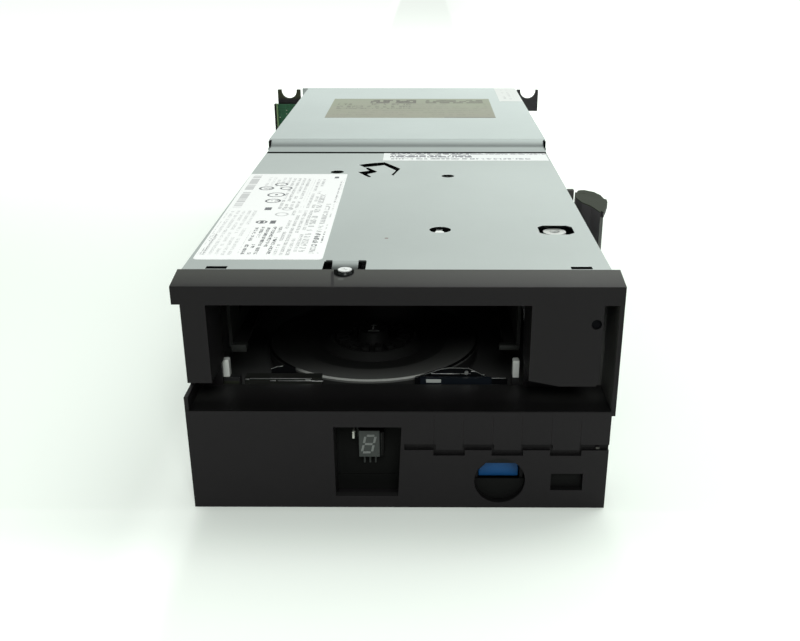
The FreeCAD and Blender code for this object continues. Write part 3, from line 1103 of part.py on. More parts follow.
def screw(x, y, seat, length, head_radius, head_high):
    """A domed cross-head screw, pointing down from its seat."""
    head = cone((x, y), head_radius, f"{head_radius} - head_slope", seat, f"{seat} + {head_high}")
    shank = rod((x, y), "shank_radius", f"{seat} - {length}", seat)
    cross = [block((f"{x} - {a}", f"{x} + {a}"), (f"{y} - {c}", f"{y} + {c}"),
                   (f"{seat} + {head_high} - cross_deep", f"{seat} + {head_high} + 1"))
             for a, c in (("cross_half", "cross_wide"), ("cross_wide", "cross_half"))]
    return cut(fuse(head, shank), *cross)


def side_screws(half, spots):
    """Pan-head screws through the side walls, on both sides, at a half-width."""
    made = []
    for spot in spots:
        for head, tip in (((f"-{half} - pan_high", f"-{half}"), (f"-{half}", f"-{half} + pan_shank_long")),
                          ((half, f"{half} + pan_high"), (f"{half} - pan_shank_long", half))):
            made.append(fuse(rod(spot, "pan_radius", *head, "x"), rod(spot, "pan_shank_radius", *tip, "x")))
    return made


BODY_SCREWS = ((50.0, 52.0), (190.0, 52.0))
REAR_SCREWS = ((242.0, 52.0), (404.0, 52.0))


def fasteners():
    """The bright screw on the front tongue, and the screws of the covers and of the deck."""
    subpart("front_screw", screw("screw_across", "screw_along", "cover_top - tongue_dip", 6, 2.5, 1.5))
    subpart("cover_screws", group(*side_screws("body_half", BODY_SCREWS),
                                  *side_screws("rear_half", REAR_SCREWS)))
    subpart("deck_screws", group(*[screw(x, y, "deck_top", 6, 2.6, 1.6) for x, y in DECK_SPOTS]))


def labels():
    """The thin labels stuck on the covers."""
    for label, seat in (("info", "cover_top"), ("strip", "cover_top"), ("plate", "rear_top"),
                        ("corner", "rear_top")):
        name = {"info": "information_label", "plate": "rear_label"}.get(label, f"{label}_label")
        subpart(name, block((f"{label}_left", f"{label}_right"), (f"{label}_front", f"{label}_rear"),
                            (seat, f"{seat} + label_thick")))


for build in (chassis_base, mechanism_deck, main_cover, bezel, front_card, eject_button, supply_drive,
              takeup_drive, tape_path, head_lift, threading_arm, cartridge_tray, slider_plate,
              loader_train, slot_furniture, side_latch, logic_cards, rear_shells, rear_panel,
              rear_connectors, cooling_fan, rear_bracket, fasteners, labels):
    build()
doc.recompute()

for item in doc.Objects:
    if {"Invalid", "Error"} & set(item.State):
        raise RuntimeError(f"{item.Name} ({item.Label}) did not compute: {item.State}")
for piece in SUBPARTS:
    if piece.Shape.isNull() or not piece.Shape.isValid() or not piece.Shape.Solids:
        raise RuntimeError(f"{piece.Label} has no valid solid")

os.makedirs("parts", exist_ok=True)
for piece in SUBPARTS:
    piece.Shape.exportStep(os.path.join("parts", f"{piece.Label}.step"))
    print(f"{piece.Label:22s} {len(piece.Shape.Solids):3d} solids {piece.Shape.Volume:10.0f} mm3")
print(len(SUBPARTS), "sub-parts")
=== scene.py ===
"""Full-height data tape drive with a library-style rear extension: finishes, small parts and studio."""
import functools
import json
import math

import bmesh
import bpy
from mathutils import Matrix, Vector

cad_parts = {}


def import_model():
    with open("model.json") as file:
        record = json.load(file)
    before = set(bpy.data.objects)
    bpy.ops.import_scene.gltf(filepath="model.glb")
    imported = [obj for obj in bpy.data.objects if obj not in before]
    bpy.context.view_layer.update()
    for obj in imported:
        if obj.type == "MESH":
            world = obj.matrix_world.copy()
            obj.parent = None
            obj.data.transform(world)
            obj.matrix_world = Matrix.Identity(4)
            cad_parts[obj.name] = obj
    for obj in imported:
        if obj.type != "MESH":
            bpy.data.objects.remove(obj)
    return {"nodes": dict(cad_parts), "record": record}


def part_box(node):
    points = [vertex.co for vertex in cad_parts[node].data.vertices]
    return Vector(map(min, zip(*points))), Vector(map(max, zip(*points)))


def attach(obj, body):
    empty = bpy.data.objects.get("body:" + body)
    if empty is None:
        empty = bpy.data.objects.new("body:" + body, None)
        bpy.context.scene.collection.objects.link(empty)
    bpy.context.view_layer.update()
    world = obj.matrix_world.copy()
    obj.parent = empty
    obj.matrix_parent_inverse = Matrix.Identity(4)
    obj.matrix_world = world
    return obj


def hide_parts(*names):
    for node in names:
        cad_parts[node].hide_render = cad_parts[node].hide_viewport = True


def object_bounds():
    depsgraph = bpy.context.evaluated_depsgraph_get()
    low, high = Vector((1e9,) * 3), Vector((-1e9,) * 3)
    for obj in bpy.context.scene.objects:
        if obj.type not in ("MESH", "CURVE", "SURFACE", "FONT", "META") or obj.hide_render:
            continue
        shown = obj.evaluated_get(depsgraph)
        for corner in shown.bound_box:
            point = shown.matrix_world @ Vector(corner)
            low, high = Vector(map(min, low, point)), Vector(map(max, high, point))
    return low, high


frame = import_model()
CAD_BOX = [list(corner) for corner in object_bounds()]
NODES = frame["nodes"]
MM = 0.001
# the drive's own millimetres start at the bezel's front and lowest edge; the frame's origin is behind them
DRIVE_TO_ORIGIN = (0.0, -91.625, -1.2)
# places in drive millimetres: heights, or pairs of across and along, or of across and up for the front holes
COVER_TOP = 83.9
SCREW = (-17.4, 15.9)
SCREW_BAY = (-17.4, 9.9)
TONGUE_MIDDLE, TONGUE_HALF_WIDTH = -17.9, 4.55
EJECT_HOLE = (36.2, 11.1)
PIN_HOLE = (66.2, 70.3)


# ---------------------------------------------------------------- shader maths


class Sum:
    """A socket that can be used in sums; each operator adds one Math node."""

    def __init__(self, paint, socket):
        self.paint = paint
        self.socket = socket

    def maths(self, operation, *others):
        return self.paint.node("ShaderNodeMath", {"operation": operation}, self, *others)

    def __add__(self, other):
        return self.maths("ADD", other)

    __radd__ = __add__

    def __sub__(self, other):
        return self.maths("SUBTRACT", other)

    def __rsub__(self, other):
        return self.paint.node("ShaderNodeMath", {"operation": "SUBTRACT"}, other, self)

    def __mul__(self, other):
        return self.maths("MULTIPLY", other)

    __rmul__ = __mul__

    def __truediv__(self, other):
        return self.maths("DIVIDE", other)

    def __abs__(self):
        return self.maths("ABSOLUTE")

    def above(self, edge):
        """1 where the value is over the edge, otherwise 0."""
        return self.maths("GREATER_THAN", edge)

    def below(self, edge):
        return self.maths("LESS_THAN", edge)

    def within(self, low, high):
        """1 between two limits."""
        return self.above(low) * self.below(high)

    def wrapped(self, length):
        """The remainder that stays between 0 and a length."""
        return self.maths("FLOORED_MODULO", length)

    def cell(self, length):
        """The number of the cell of a given length that the value is in."""
        return (self / length).maths("FLOOR")

    def highest(self, other):
        return self.maths("MAXIMUM", other)

    def clamped(self):
        return self.paint.node("ShaderNodeClamp", {}, self)

    def fade(self, low, high):
        """Rises smoothly from 0 to 1 between two limits."""
        smooth = {"interpolation_type": "SMOOTHSTEP"}
        return self.paint.node("ShaderNodeMapRange", smooth, self, low, high, 0.0, 1.0)


class Paint:
    """One material and its node tree, with the surface shader ready."""

    def __init__(self, name):
        self.material = bpy.data.materials.new(name)
        self.material.use_nodes = True
        self.tree = self.material.node_tree
        self.shader = self.tree.nodes["Principled BSDF"]
        self.place = self.tree.nodes.new("ShaderNodeTexCoord").outputs["Object"]

    def node(self, kind, settings, *values, out=0, **named):
        """Adds a node, sets it, feeds its sockets in order or by name, and gives one of its outputs."""
        made = self.tree.nodes.new(kind)
        for key, value in settings.items():
            setattr(made, key, value)
        feeds = [(made.inputs[n], value) for n, value in enumerate(values)]
        feeds += [(made.inputs[key.replace("_", " ")], value) for key, value in named.items()]
        for socket, value in feeds:
            self.feed(socket, value)
        return Sum(self, made.outputs[out])

    def feed(self, socket, value):
        """Sets a socket to a number or colour, or links it."""
        if isinstance(value, Sum):
            self.tree.links.new(value.socket, socket)
        elif isinstance(value, bpy.types.NodeSocket):
            self.tree.links.new(value, socket)
        else:
            socket.default_value = value

    def axes(self):
        """The place in drive millimetres: across, along and up."""
        split = self.tree.nodes.new("ShaderNodeSeparateXYZ")
        self.tree.links.new(self.place, split.inputs[0])
        return [Sum(self, socket) * 1000.0 - offset for socket, offset in zip(split.outputs, DRIVE_TO_ORIGIN)]

    def mapped(self, scale=(1, 1, 1)):
        """Object coordinates in millimetres, stretched along the axes."""
        made = self.tree.nodes.new("ShaderNodeMapping")
        self.tree.links.new(self.place, made.inputs["Vector"])
        made.inputs["Scale"].default_value = [s * 1000 for s in scale]
        return Sum(self, made.outputs[0])

    def noise(self, scale, detail=3.0, rough=0.55, where=None):
        """Noise with features about 1 / scale millimetres across."""
        where = self.mapped() if where is None else where
        return self.node("ShaderNodeTexNoise", {}, Vector=where, Scale=scale, Detail=detail, Roughness=rough)

    def cells(self, scale):
        """A random colour for each cell about 1 / scale millimetres across."""
        return self.node("ShaderNodeTexVoronoi", {}, out=1, Vector=self.mapped(), Scale=scale)

    def mix(self, factor, first, second):
        """A colour between two colours."""
        made = self.tree.nodes.new("ShaderNodeMix")
        made.data_type = "RGBA"
        for socket, value in zip((made.inputs[0], made.inputs[6], made.inputs[7]), (factor, first, second)):
            self.feed(socket, value if isinstance(value, (Sum, float)) else rgba(value))
        return Sum(self, made.outputs[2])

    def combine(self, x, y, z=0.0):
        return self.node("ShaderNodeCombineXYZ", {}, x, y, z)

    def dice(self, x, y, seed=0.0):
        """A steady random number for each whole pair of numbers."""
        spot = self.combine(x, y, seed)
        return self.node("ShaderNodeTexWhiteNoise", {"noise_dimensions": "3D"}, spot)

    def bump(self, height, strength, depth):
        """Turns a height into a normal; depth is in millimetres."""
        normal = self.node("ShaderNodeBump", {}, Height=height, Strength=strength, Distance=depth * MM)
        self.feed(self.shader.inputs["Normal"], normal)

    def finish(self, **sockets):
        """Feeds the surface shader's sockets by name and gives the material."""
        for name, value in sockets.items():
            socket = self.shader.inputs[name.replace("_", " ")]
            colour = isinstance(value, tuple) and len(value) == 3
            self.feed(socket, rgba(value) if colour else value)
        return self.material


def rgba(colour):
    return (*colour[:3], 1.0)


def grey(level):
    return (level, level, level)


def scaled(tone, factor):
    """A colour made darker or lighter, and never over 1."""
    return tuple(min(c * factor, 1.0) for c in tone)


def union(masks):
    """The highest of several masks at each place."""
    return functools.reduce(Sum.highest, masks)


def span(node):
    """A node's lowest and highest corners in drive millimetres."""
    return [[c * 1000 - o for c, o in zip(corner, DRIVE_TO_ORIGIN)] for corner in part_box(node)]


def finish_of(node):
    """The material that a carried-over node wears."""
    return NODES[node].data.materials[0]


# ---------------------------------------------------------------- finishes


# the black mouldings are neutral under a light that leans to green
WARM = (1.03, 0.95, 1.02)


def moulded_black(name="moulded_black", tone=0.0095, rough=0.5, gloss=0.22, zones=()):
    """Black moulding with a fine spark-eroded grain, faint scuffs and a little dust on it.

    Each zone is a function of the three axes that gives a mask, and the colour that the mask brings.
    """
    p = Paint(name)
    grain = p.noise(5.5, 2.0, 0.6)
    cloud = p.noise(0.045, 3.0)
    scuff = p.noise(0.5, 4.0, 0.7, where=p.mapped(scale=(0.25, 0.25, 1.4)))
    dust = (scuff.fade(0.62, 0.86) * 0.35).clamped()
    base = p.mix(cloud, scaled(WARM, tone * 0.8), scaled(WARM, tone * 1.25))
    colour = p.mix(dust, base, scaled(WARM, tone * 3.1))
    for mask, shade in zones:
        colour = p.mix((mask(*p.axes()) * (cloud * 0.3 + 0.8)).clamped(), colour, shade)
    p.bump(grain, 0.22, 0.12)
    p.shader.inputs["Specular IOR Level"].default_value = gloss
    p.shader.inputs["Specular Tint"].default_value = rgba(WARM)
    return p.finish(Base_Color=colour, Roughness=cloud * 0.12 + (rough - 0.06) + dust * 0.2)


# the zones and shades below take a place in drive millimetres and give how far they cover it


def disc_mask(u, v, radius):
    """1 inside a circle and 0 outside it."""
    return (u * u + v * v).below(radius * radius)


def upper_front(across, along, up):
    """The face of the brow and of the panels beside the opening, which the light reaches less."""
    return up.above(46.0) * along.below(1.5) * 0.9


def brow_top_sheen(across, along, up):
    """The painted sheen on top of the brow, stronger towards the cover: a lighter colour that stands in for
    the overhead light it reflects.
    """
    return up.above(83.2) * along.below(12.8) * (along.fade(-2.0, 4.0) * 0.55 + along.fade(2.0, 12.0) * 0.45)


def brow_seam(across, along, up):
    """The hairline beside the screw bay, which bends round it."""
    bend = along.fade(0.0, 11.0) * 0.7
    return (1.0 - abs(across + 20.35 + bend).fade(0.25, 0.75)) * up.above(83.0) * along.within(0.3, 11.0)


def screw_smudge(across, along, up):
    """The rubbed patch on the brow in front of the screw."""
    return (1.0 - abs(across + 18.0).fade(0.5, 1.3)) * up.above(82.9) * along.within(4.6, 6.4) * 0.5


def screw_hollow(across, along, up):
    """The shade inside the screw bay, which ends over the slot."""
    return disc_mask(across - SCREW_BAY[0], along - SCREW_BAY[1], 3.6) * up.above(78.0) * 0.97


def slit_inner_shade(across, along, up):
    """The inside of the castellated slit, painted near black as shade."""
    return across.above(2.2) * along.within(0.25, 1.6) * up.within(20.6, 26.2)


def side_groove(across, along, up):
    """The groove along the right wall and the wall behind it, which catch some light."""
    return across.above(68.5) * along.above(0.3) * up.within(38.8, 77.0)


def ledge_ends_lit(across, along, up):
    """The two ends of the ledge, painted paler than its middle, standing in for the light that reaches them.
    """
    left = 1.0 - (across + 71.0).fade(2.0, 18.0)
    right = across.fade(44.0, 52.0)
    return (left + right) * up.within(38.0, 38.6) * along.above(0.4)


def bay_walls_lit(across, along, up):
    """The walls of the display bay, painted a little lighter to stand in for the light that reaches into it.
    """
    return across.within(-23.0, 3.0) * up.within(4.0, 33.5) * along.above(0.35)


def ledge_near(across, along, up):
    """The near part of the ledge, which mirrors the dark opening."""
    return up.within(35.6, 39.0) * along.above(0.35) * (1.0 - along.fade(5.0, 14.0))


def ledge_brink_shade(across, along, up):
    """The dark line at the ledge's near edge, wider to the right: painted shade."""
    return along.below(0.6) * (up + across.fade(-70.0, 60.0) * 0.25).above(38.15) * up.below(39.0)


def ledge_back(across, along, up):
    """The ledge under the panels, where some light still comes in from the side."""
    return up.within(35.0, 39.0) * along.fade(12.0, 20.0)


def panel_foot_shade(across, along, up):
    """The darker foot of the right panel: painted shade."""
    return across.above(26.0) * along.below(0.5) * up.above(38.6) * (1.0 - up.fade(38.8, 46.0)) * 0.5


def tongue_seams_lit(across, along, up):
    """The shallow seams between the tongues, painted lighter so that their shade fades into the face."""
    return across.within(2.0, 74.0) * along.within(0.03, 0.2) * up.within(26.6, 36.3)


def key_hollow_shade(across, along, up):
    """The hollows behind the key opening and behind the eject hole, painted dark as shade."""
    key = across.within(53.0, 66.5) * up.within(6.0, 15.0)
    eject = disc_mask(across - EJECT_HOLE[0], up - EJECT_HOLE[1], 9.6)
    return key.highest(eject) * along.above(0.4)


def pin_hole_inner_shade(across, along, up):
    """The small round hole in the right panel, painted near black as shade."""
    return disc_mask(across - PIN_HOLE[0], up - PIN_HOLE[1], 1.85) * along.above(0.2)


PITCH = grey(0.002)
# the bezel's zones, most of them painted light or painted shade, in the order in which they are laid over
# each other
BEZEL_ZONES = (
    (upper_front, (0.0062, 0.0058, 0.0060)),
    (brow_top_sheen, (0.050, 0.052, 0.046)),
    (screw_smudge, (0.10, 0.105, 0.10)),
    (side_groove, (0.068, 0.068, 0.065)),
    (ledge_ends_lit, (0.022, 0.022, 0.021)),
    (bay_walls_lit, grey(0.014)),
    (ledge_near, grey(0.0042)),
    (ledge_back, grey(0.012)),
    (ledge_brink_shade, PITCH),
    (panel_foot_shade, PITCH),
    (tongue_seams_lit, (0.015, 0.014, 0.0145)),
    (key_hollow_shade, grey(0.004)),
    (pin_hole_inner_shade, PITCH),
    (slit_inner_shade, PITCH),
    (screw_hollow, PITCH),
    (brow_seam, PITCH),
)


ZINC_SHINE = 0.55
FOLD_DARKNESS = 0.014


def zinc_sheet(name, tone, shade=None, light_run=None):
    """Zinc-plated sheet: soft spangle, rolling lines and faint handling marks.

    A cover also has a speck, and a mask of the places that lie in the shade of its folds. Over the light run,
    two places along the drive, the sheet is painted lighter towards the rear: painted light.
    """
    p = Paint(name)
    lines = p.noise(1.3, 4.0, 0.6, where=p.mapped(scale=(1.6, 0.03, 1.6)))
    spangle = p.node("ShaderNodeSeparateColor", {}, p.cells(0.16))
    cloud = p.noise(0.018, 4.0, 0.6)
    marks = p.noise(0.35, 5.0, 0.72).fade(0.66, 0.8)
    level = (lines - 0.5) * 0.10 + (spangle - 0.5) * 0.035 + (cloud - 0.5) * 0.22 + 0.5
    shine = ZINC_SHINE
    # painted light: the sheet grows lighter towards the rear over its light run
    if light_run:
        level = level + (p.axes()[1].fade(*light_run) - 0.5) * 0.6
    plating = p.mix(level.clamped(), scaled(tone, 0.86), scaled(tone, 1.10))
    colour = p.mix(marks * 0.35, plating, scaled(tone, 0.8))
    if shade:
        colour = p.mix(speck(*p.axes()), colour, (0.20, 0.10, 0.09))
        hidden = shade(*p.axes()).clamped()
        colour = p.mix(hidden, colour, scaled(tone, FOLD_DARKNESS))
        shine = (1.0 - hidden) * ZINC_SHINE
    p.bump(lines, 0.05, 0.05)
    p.shader.inputs["Specular IOR Level"].default_value = 0.0
    return p.finish(Base_Color=colour, Metallic=shine, Roughness=cloud * 0.16 + 0.40 + marks * 0.1)


def cover_shade(across, along, up):
    """The cut edges of the main cover's holes and slots, its rear lip, and the tongue under the screw."""
    off_tongue = abs(across - TONGUE_MIDDLE).above(TONGUE_HALF_WIDTH)
    flat = up.below(COVER_TOP - 0.06) * along.above(25.6).highest(off_tongue)
    edges = flat.highest(up.below(COVER_TOP - 1.4)) * abs(across).below(72.1)
    dip = along.below(25.8) * 0.25 + (1.0 - along.fade(20.5, 25.2)) * 0.6
    dip = dip + (1.0 - along.fade(19.6, 20.6)) * 0.15
    slots = across.within(-24.7, -22.5).highest(across.within(-13.4, -10.7)) * along.within(25.0, 26.6)
    lip = along.fade(207.8, 208.9) * 0.85
    return union([edges, dip * (1.0 - off_tongue), slots * 0.9, lip])


def rear_shade(across, along, up):
    """The fold at the foot of the riser, and the lap strip before it with its dark lip."""
    fold = (1.0 - abs(along - 227.6).fade(0.0, 4.4)) * 0.38
    strip = (1.0 - along.fade(226.5, 228.5)) * 0.30
    riser = along.within(228.0, 233.2) * 0.30
    lip = (1.0 - along.fade(211.6, 213.2)) * 0.8
    return (fold + strip + riser + lip) * up.above(82.0)


def speck(across, along, up):
    """A brownish speck on the main cover."""
    return disc_mask(across + 4.7, along - 53.6, 0.75) * up.above(83.0) * 0.7


def cast_metal(name="cast_metal", tone=(0.40, 0.41, 0.41), rough=0.5):
    """Die-cast alloy with a sandy skin."""
    p = Paint(name)
    skin = p.noise(1.8, 5.0, 0.65)
    cloud = p.noise(0.05, 3.0)
    colour = p.mix((cloud * 0.7 + skin * 0.3).clamped(), scaled(tone, 0.75), scaled(tone, 1.15))
    p.bump(skin, 0.25, 0.1)
    return p.finish(Base_Color=colour, Metallic=0.9, Roughness=skin * 0.2 + rough - 0.1)


def bright_steel(name="bright_steel", tone=(0.62, 0.63, 0.64), rough=0.24):
    """Turned or plated steel with fine tool marks."""
    p = Paint(name)
    marks = p.noise(3.0, 3.0, 0.6, where=p.mapped(scale=(1, 1, 6)))
    stain = p.noise(0.2, 3.0)
    colour = p.mix(stain, scaled(tone, 0.85), tone)
    p.bump(marks, 0.08, 0.04)
    return p.finish(Base_Color=colour, Metallic=1.0, Roughness=marks * 0.14 + rough - 0.05)


def black_paint(name="black_paint", tone=0.014, rough=0.42):
    """Black powder coat on steel, slightly orange-peeled, worn grey at places."""
    p = Paint(name)
    peel = p.noise(1.6, 2.0)
    wear = p.noise(0.4, 5.0, 0.7).fade(0.68, 0.8)
    colour = p.mix(wear * 0.4, (tone, tone, tone * 1.05), grey(tone * 5))
    p.bump(peel, 0.15, 0.12)
    return p.finish(Base_Color=colour, Roughness=peel * 0.14 + rough - 0.07)


def plain_plastic(name, tone, rough=0.4, gloss=0.0, shine=0.5):
    """Smooth coloured plastic with a faint flow mottle."""
    p = Paint(name)
    flow = p.noise(0.12, 4.0, 0.6)
    skin = p.noise(2.4, 2.0)
    colour = p.mix(flow, scaled(tone, 0.88), scaled(tone, 1.06))
    p.bump(skin, 0.06, 0.06)
    p.shader.inputs["Specular IOR Level"].default_value = shine
    return p.finish(Base_Color=colour, Roughness=flow * 0.12 + rough - 0.06, Coat_Weight=gloss)


def circuit_board(name, tone, plane="xz"):
    """Solder mask over copper tracks, with bright pads and vias, drawn in the card's own plane."""
    p = Paint(name)
    across, along, up = p.axes()
    u, v = {"xz": (across, up), "xy": (across, along)}[plane]
    lane, cross_lane, grid = 0.9, 1.6, 2.5
    track = abs(v.wrapped(lane) - lane / 2).below(0.17) * p.dice(v.cell(lane), u.cell(7.0)).above(0.42)
    cross = abs(u.wrapped(cross_lane) - cross_lane / 2).below(0.16)
    cross = cross * p.dice(u.cell(cross_lane), v.cell(6.0), 4.0).above(0.72)
    du, dv = u.wrapped(grid) - grid / 2, v.wrapped(grid) - grid / 2
    via = (du * du + dv * dv).below(0.11) * p.dice(u.cell(grid), v.cell(grid), 9.0).above(0.72)
    copper = track.highest(cross).clamped()
    mask = p.mix(copper * 0.6, tone, tuple(min(1.0, c * 2.0 + 0.01) for c in tone))
    grime = p.noise(0.15, 4.0)
    colour = p.mix(via, mask, (0.62, 0.60, 0.50))
    colour = p.mix(grime * 0.25, colour, scaled(tone, 0.6))
    p.bump(copper + via, 0.3, 0.05)
    return p.finish(Base_Color=colour, Metallic=via * 0.9, Roughness=0.3 + grime * 0.15)


def paper(p, printed, ink, stock, dirt=0.2):
    """Label stock with a print mask on it: faint fibres, yellowing and a satin top coat."""
    fibre = p.noise(2.2, 4.0, 0.65)
    age = p.noise(0.03, 3.0, 0.6)
    sheet = p.mix(age * dirt, stock, tuple(c * f for c, f in zip(stock, (0.86, 0.84, 0.76))))
    colour = p.mix(printed, sheet, ink)
    p.bump(fibre, 0.05, 0.03)
    return p.finish(Base_Color=colour, Roughness=fibre * 0.1 + 0.38 - printed * 0.05)


def text_lines(p, along, across, pitch, height, glyph, fill=0.72, seed=1.0):
    """Rows of tiny blots that read as print from afar: none is a letter."""
    row = across.cell(pitch)
    in_row = across.wrapped(pitch).below(height)
    word = along.cell(glyph * 5)
    letter = along.cell(glyph)
    gap = p.dice(word, row, seed).below(0.86)
    dot = p.dice(letter, row, seed + 3.0).below(fill)
    fine = p.dice(along.cell(glyph / 3), across.cell(height / 3), seed + 7.0).below(0.62)
    return in_row * gap * dot * fine


def information_label():
    """The big white label: sideways print in blocks, rings down its middle, and bars at its left edge."""
    p = Paint("information_label")
    across, along, _ = p.axes()
    (left, near, _), _ = span("information_label")
    u, v = across - left, along - near

    def zones(*limits):
        """A mask of rectangles, each given as its limits across and along the label."""
        return union([u.within(a, b) * v.within(c, d) for a, b, c, d in limits])

    def rings(*places):
        """A mask of ring marks, each given as its centre and its radius."""
        marks = []
        for spot_u, spot_v, radius in places:
            du, dv = u - spot_u, v - spot_v
            marks.append(abs((du * du + dv * dv).maths("SQRT") - radius).below(0.42))
        return union(marks)

    rows = text_lines(p, v, u, 2.3, 1.3, 0.9, fill=0.8, seed=1.0)
    small = text_lines(p, v, u, 1.3, 0.8, 0.7, fill=0.8, seed=3.0)
    large = text_lines(p, v, u, 3.6, 2.6, 1.8, fill=0.8, seed=5.0)
    bars = p.dice(v.cell(0.7), 0.0, 2.0).below(0.75) * 0.32
    pale = rows * zones((0.9, 13.4, 5.0, 66.0), (9.0, 20.0, 108.0, 126.0)) * 0.26
    middle = zones((27.0, 36.0, 5.0, 66.0), (20.0, 30.0, 68.0, 124.0), (31.0, 36.5, 70.0, 122.0))
    middle = rows * middle * 0.42
    strong = rows * zones((15.0, 26.6, 6.0, 41.5)) * 0.8
    edge = small * zones((1.7, 3.1, 5.3, 32.0), (43.0, 44.3, 79.0, 125.0)) * 0.6
    digits = large * zones((36.2, 39.6, 7.0, 93.0), (40.2, 43.8, 7.0, 77.0)) * 0.36
    bold = large * zones((40.2, 43.8, 16.0, 33.0)) * 0.7
    blocks = zones((15.4, 18.2, 66.6, 71.0), (16.6, 18.0, 46.8, 50.0), (20.6, 22.8, 46.0, 50.6),
                   (16.3, 17.5, 91.6, 93.6), (39.5, 41.5, 124.0, 127.5)) * 0.75
    dark_rings = rings((10.8, 104.3, 3.0), (16.8, 92.5, 3.5), (16.9, 81.9, 3.0), (17.2, 48.4, 1.9),
                       (16.5, 112.0, 2.6), (19.6, 104.6, 2.4)) * 0.75
    pale_rings = rings((23.6, 60.0, 2.4), (24.8, 68.6, 2.0)) * 0.35
    icons = zones((8.4, 13.2, 102.6, 106.0), (14.4, 19.4, 80.4, 83.4))
    icons = p.dice(u.cell(0.8), v.cell(1.1), 8.0).above(0.55) * icons * 0.45
    bars = bars * zones((1.6, 5.1, 70.5, 97.3), (1.3, 5.1, 101.5, 130.6))
    ink = union([bars, pale, middle, strong, edge, digits, bold, blocks, dark_rings, pale_rings, icons])
    return paper(p, (ink * 1.2).clamped(), (0.04, 0.045, 0.06), (0.99, 0.99, 0.995), dirt=0.03)


def strip_label():
    """The long white strip: a broken heavy row along its rear edge, and two rows of fine print."""
    p = Paint("strip_label")
    across, along, _ = p.axes()
    (left, near, _), (right, far, _) = span("strip_label")
    u, v = across - left, along - near
    wide, deep = right - left, far - near
    left_half = u.below(wide * 0.54)
    heavy = p.dice(u.cell(0.8), v.cell(1.7), 2.0).above(0.22) * v.above(deep - 3.6)
    heavy = heavy * (left_half * 0.35 + 0.55)
    middle = p.dice(u.cell(0.8), v.cell(2.1), 4.0).above(0.3) * v.within(7.4, 12.6) * left_half * 0.85
    fine = p.dice(u.cell(0.8), v.cell(2.4), 6.0).above(0.38) * v.within(2.8, 5.4) * u.below(wide - 9.0) * 0.75
    ink = heavy.highest(middle).highest(fine) * u.above(3.4)
    return paper(p, ink.clamped() * 0.9, (0.05, 0.05, 0.09), (0.93, 0.95, 0.96))


def rear_label():
    """The large tan label on the rear cover, brown with age, with ghosts of print in its rear half."""
    p = Paint("rear_label")
    across, along, _ = p.axes()
    (left, near, _), (right, far, _) = span("rear_label")
    u, v = across - left, along - near
    wide, deep = right - left, far - near
    inside = u.within(4.0, wide - 3.0) * v.within(4.0, deep - 4.0)
    words = u.within(wide * 0.24, wide * 0.38).highest(u.within(wide * 0.40, wide * 0.53))
    head = p.dice(u.cell(2.2), v.cell(5.0), 3.0).above(0.2) * v.within(deep * 0.74, deep * 0.93)
    head = head * words.highest(u.within(wide * 0.59, wide * 0.97) * 0.7)
    heavy = text_lines(p, u, v, 9.5, 7.0, 2.6, fill=0.8, seed=3.0) * v.within(deep * 0.44, deep * 0.76)
    pale = text_lines(p, u, v, 8.0, 4.5, 2.6, fill=0.8, seed=8.0) * v.below(deep * 0.5)
    busy = u.below(wide * 0.5) * 0.75 + 0.25
    blotch = p.noise(0.05, 5.0, 0.65).fade(0.35, 0.7)
    worn = p.noise(0.4, 4.0, 0.7).fade(0.35, 0.6)
    tint = (v / deep).clamped()
    sheet = p.mix((tint * 0.8 + blotch * 0.3).clamped(), (0.335, 0.327, 0.262), (0.355, 0.387, 0.290))
    marks = (head * 0.95).highest(heavy * busy * 0.6).highest(pale * 0.2) * inside * (worn * 0.4 + 0.6)
    foot = (1.0 - v.fade(0.8, 3.0)) * u.above(wide * 0.7) * 0.5
    colour = p.mix(marks.highest(foot).clamped(), sheet, (0.115, 0.105, 0.09))
    p.bump(p.noise(2.0, 3.0), 0.05, 0.04)
    return p.finish(Base_Color=colour, Roughness=0.42 + blotch * 0.1)


def corner_label():
    """The small white label at the right rear corner, nearly bare."""
    p = Paint("corner_label")
    across, along, _ = p.axes()
    (left, near, _), _ = span("corner_label")
    u, v = across - left, along - near
    ink = text_lines(p, v, u, 3.6, 1.8, 1.4, seed=9.0) * v.within(8.0, 52.0) * u.within(2.0, 11.0)
    return paper(p, ink * 0.4, (0.3, 0.3, 0.32), (0.88, 0.9, 0.89))


def eject_blue():
    """The blue button, whose upper edge and bevelled corner lie in the shade of the eject hole."""
    p = Paint("blue_plastic")
    across, _, up = p.axes()
    shade = up.above(15.25).highest((up - (across - 28.9) * 1.1).above(12.4))
    worn = p.noise(0.5, 4.0, 0.6)
    blue = p.mix(worn, (0.0085, 0.066, 0.200), (0.0105, 0.080, 0.240))
    p.bump(p.noise(5.0, 2.0), 0.08, 0.05)
    p.shader.inputs["Specular IOR Level"].default_value = 0.3
    return p.finish(Base_Color=p.mix(shade, blue, (0.003, 0.003, 0.004)), Roughness=worn * 0.08 + 0.34)


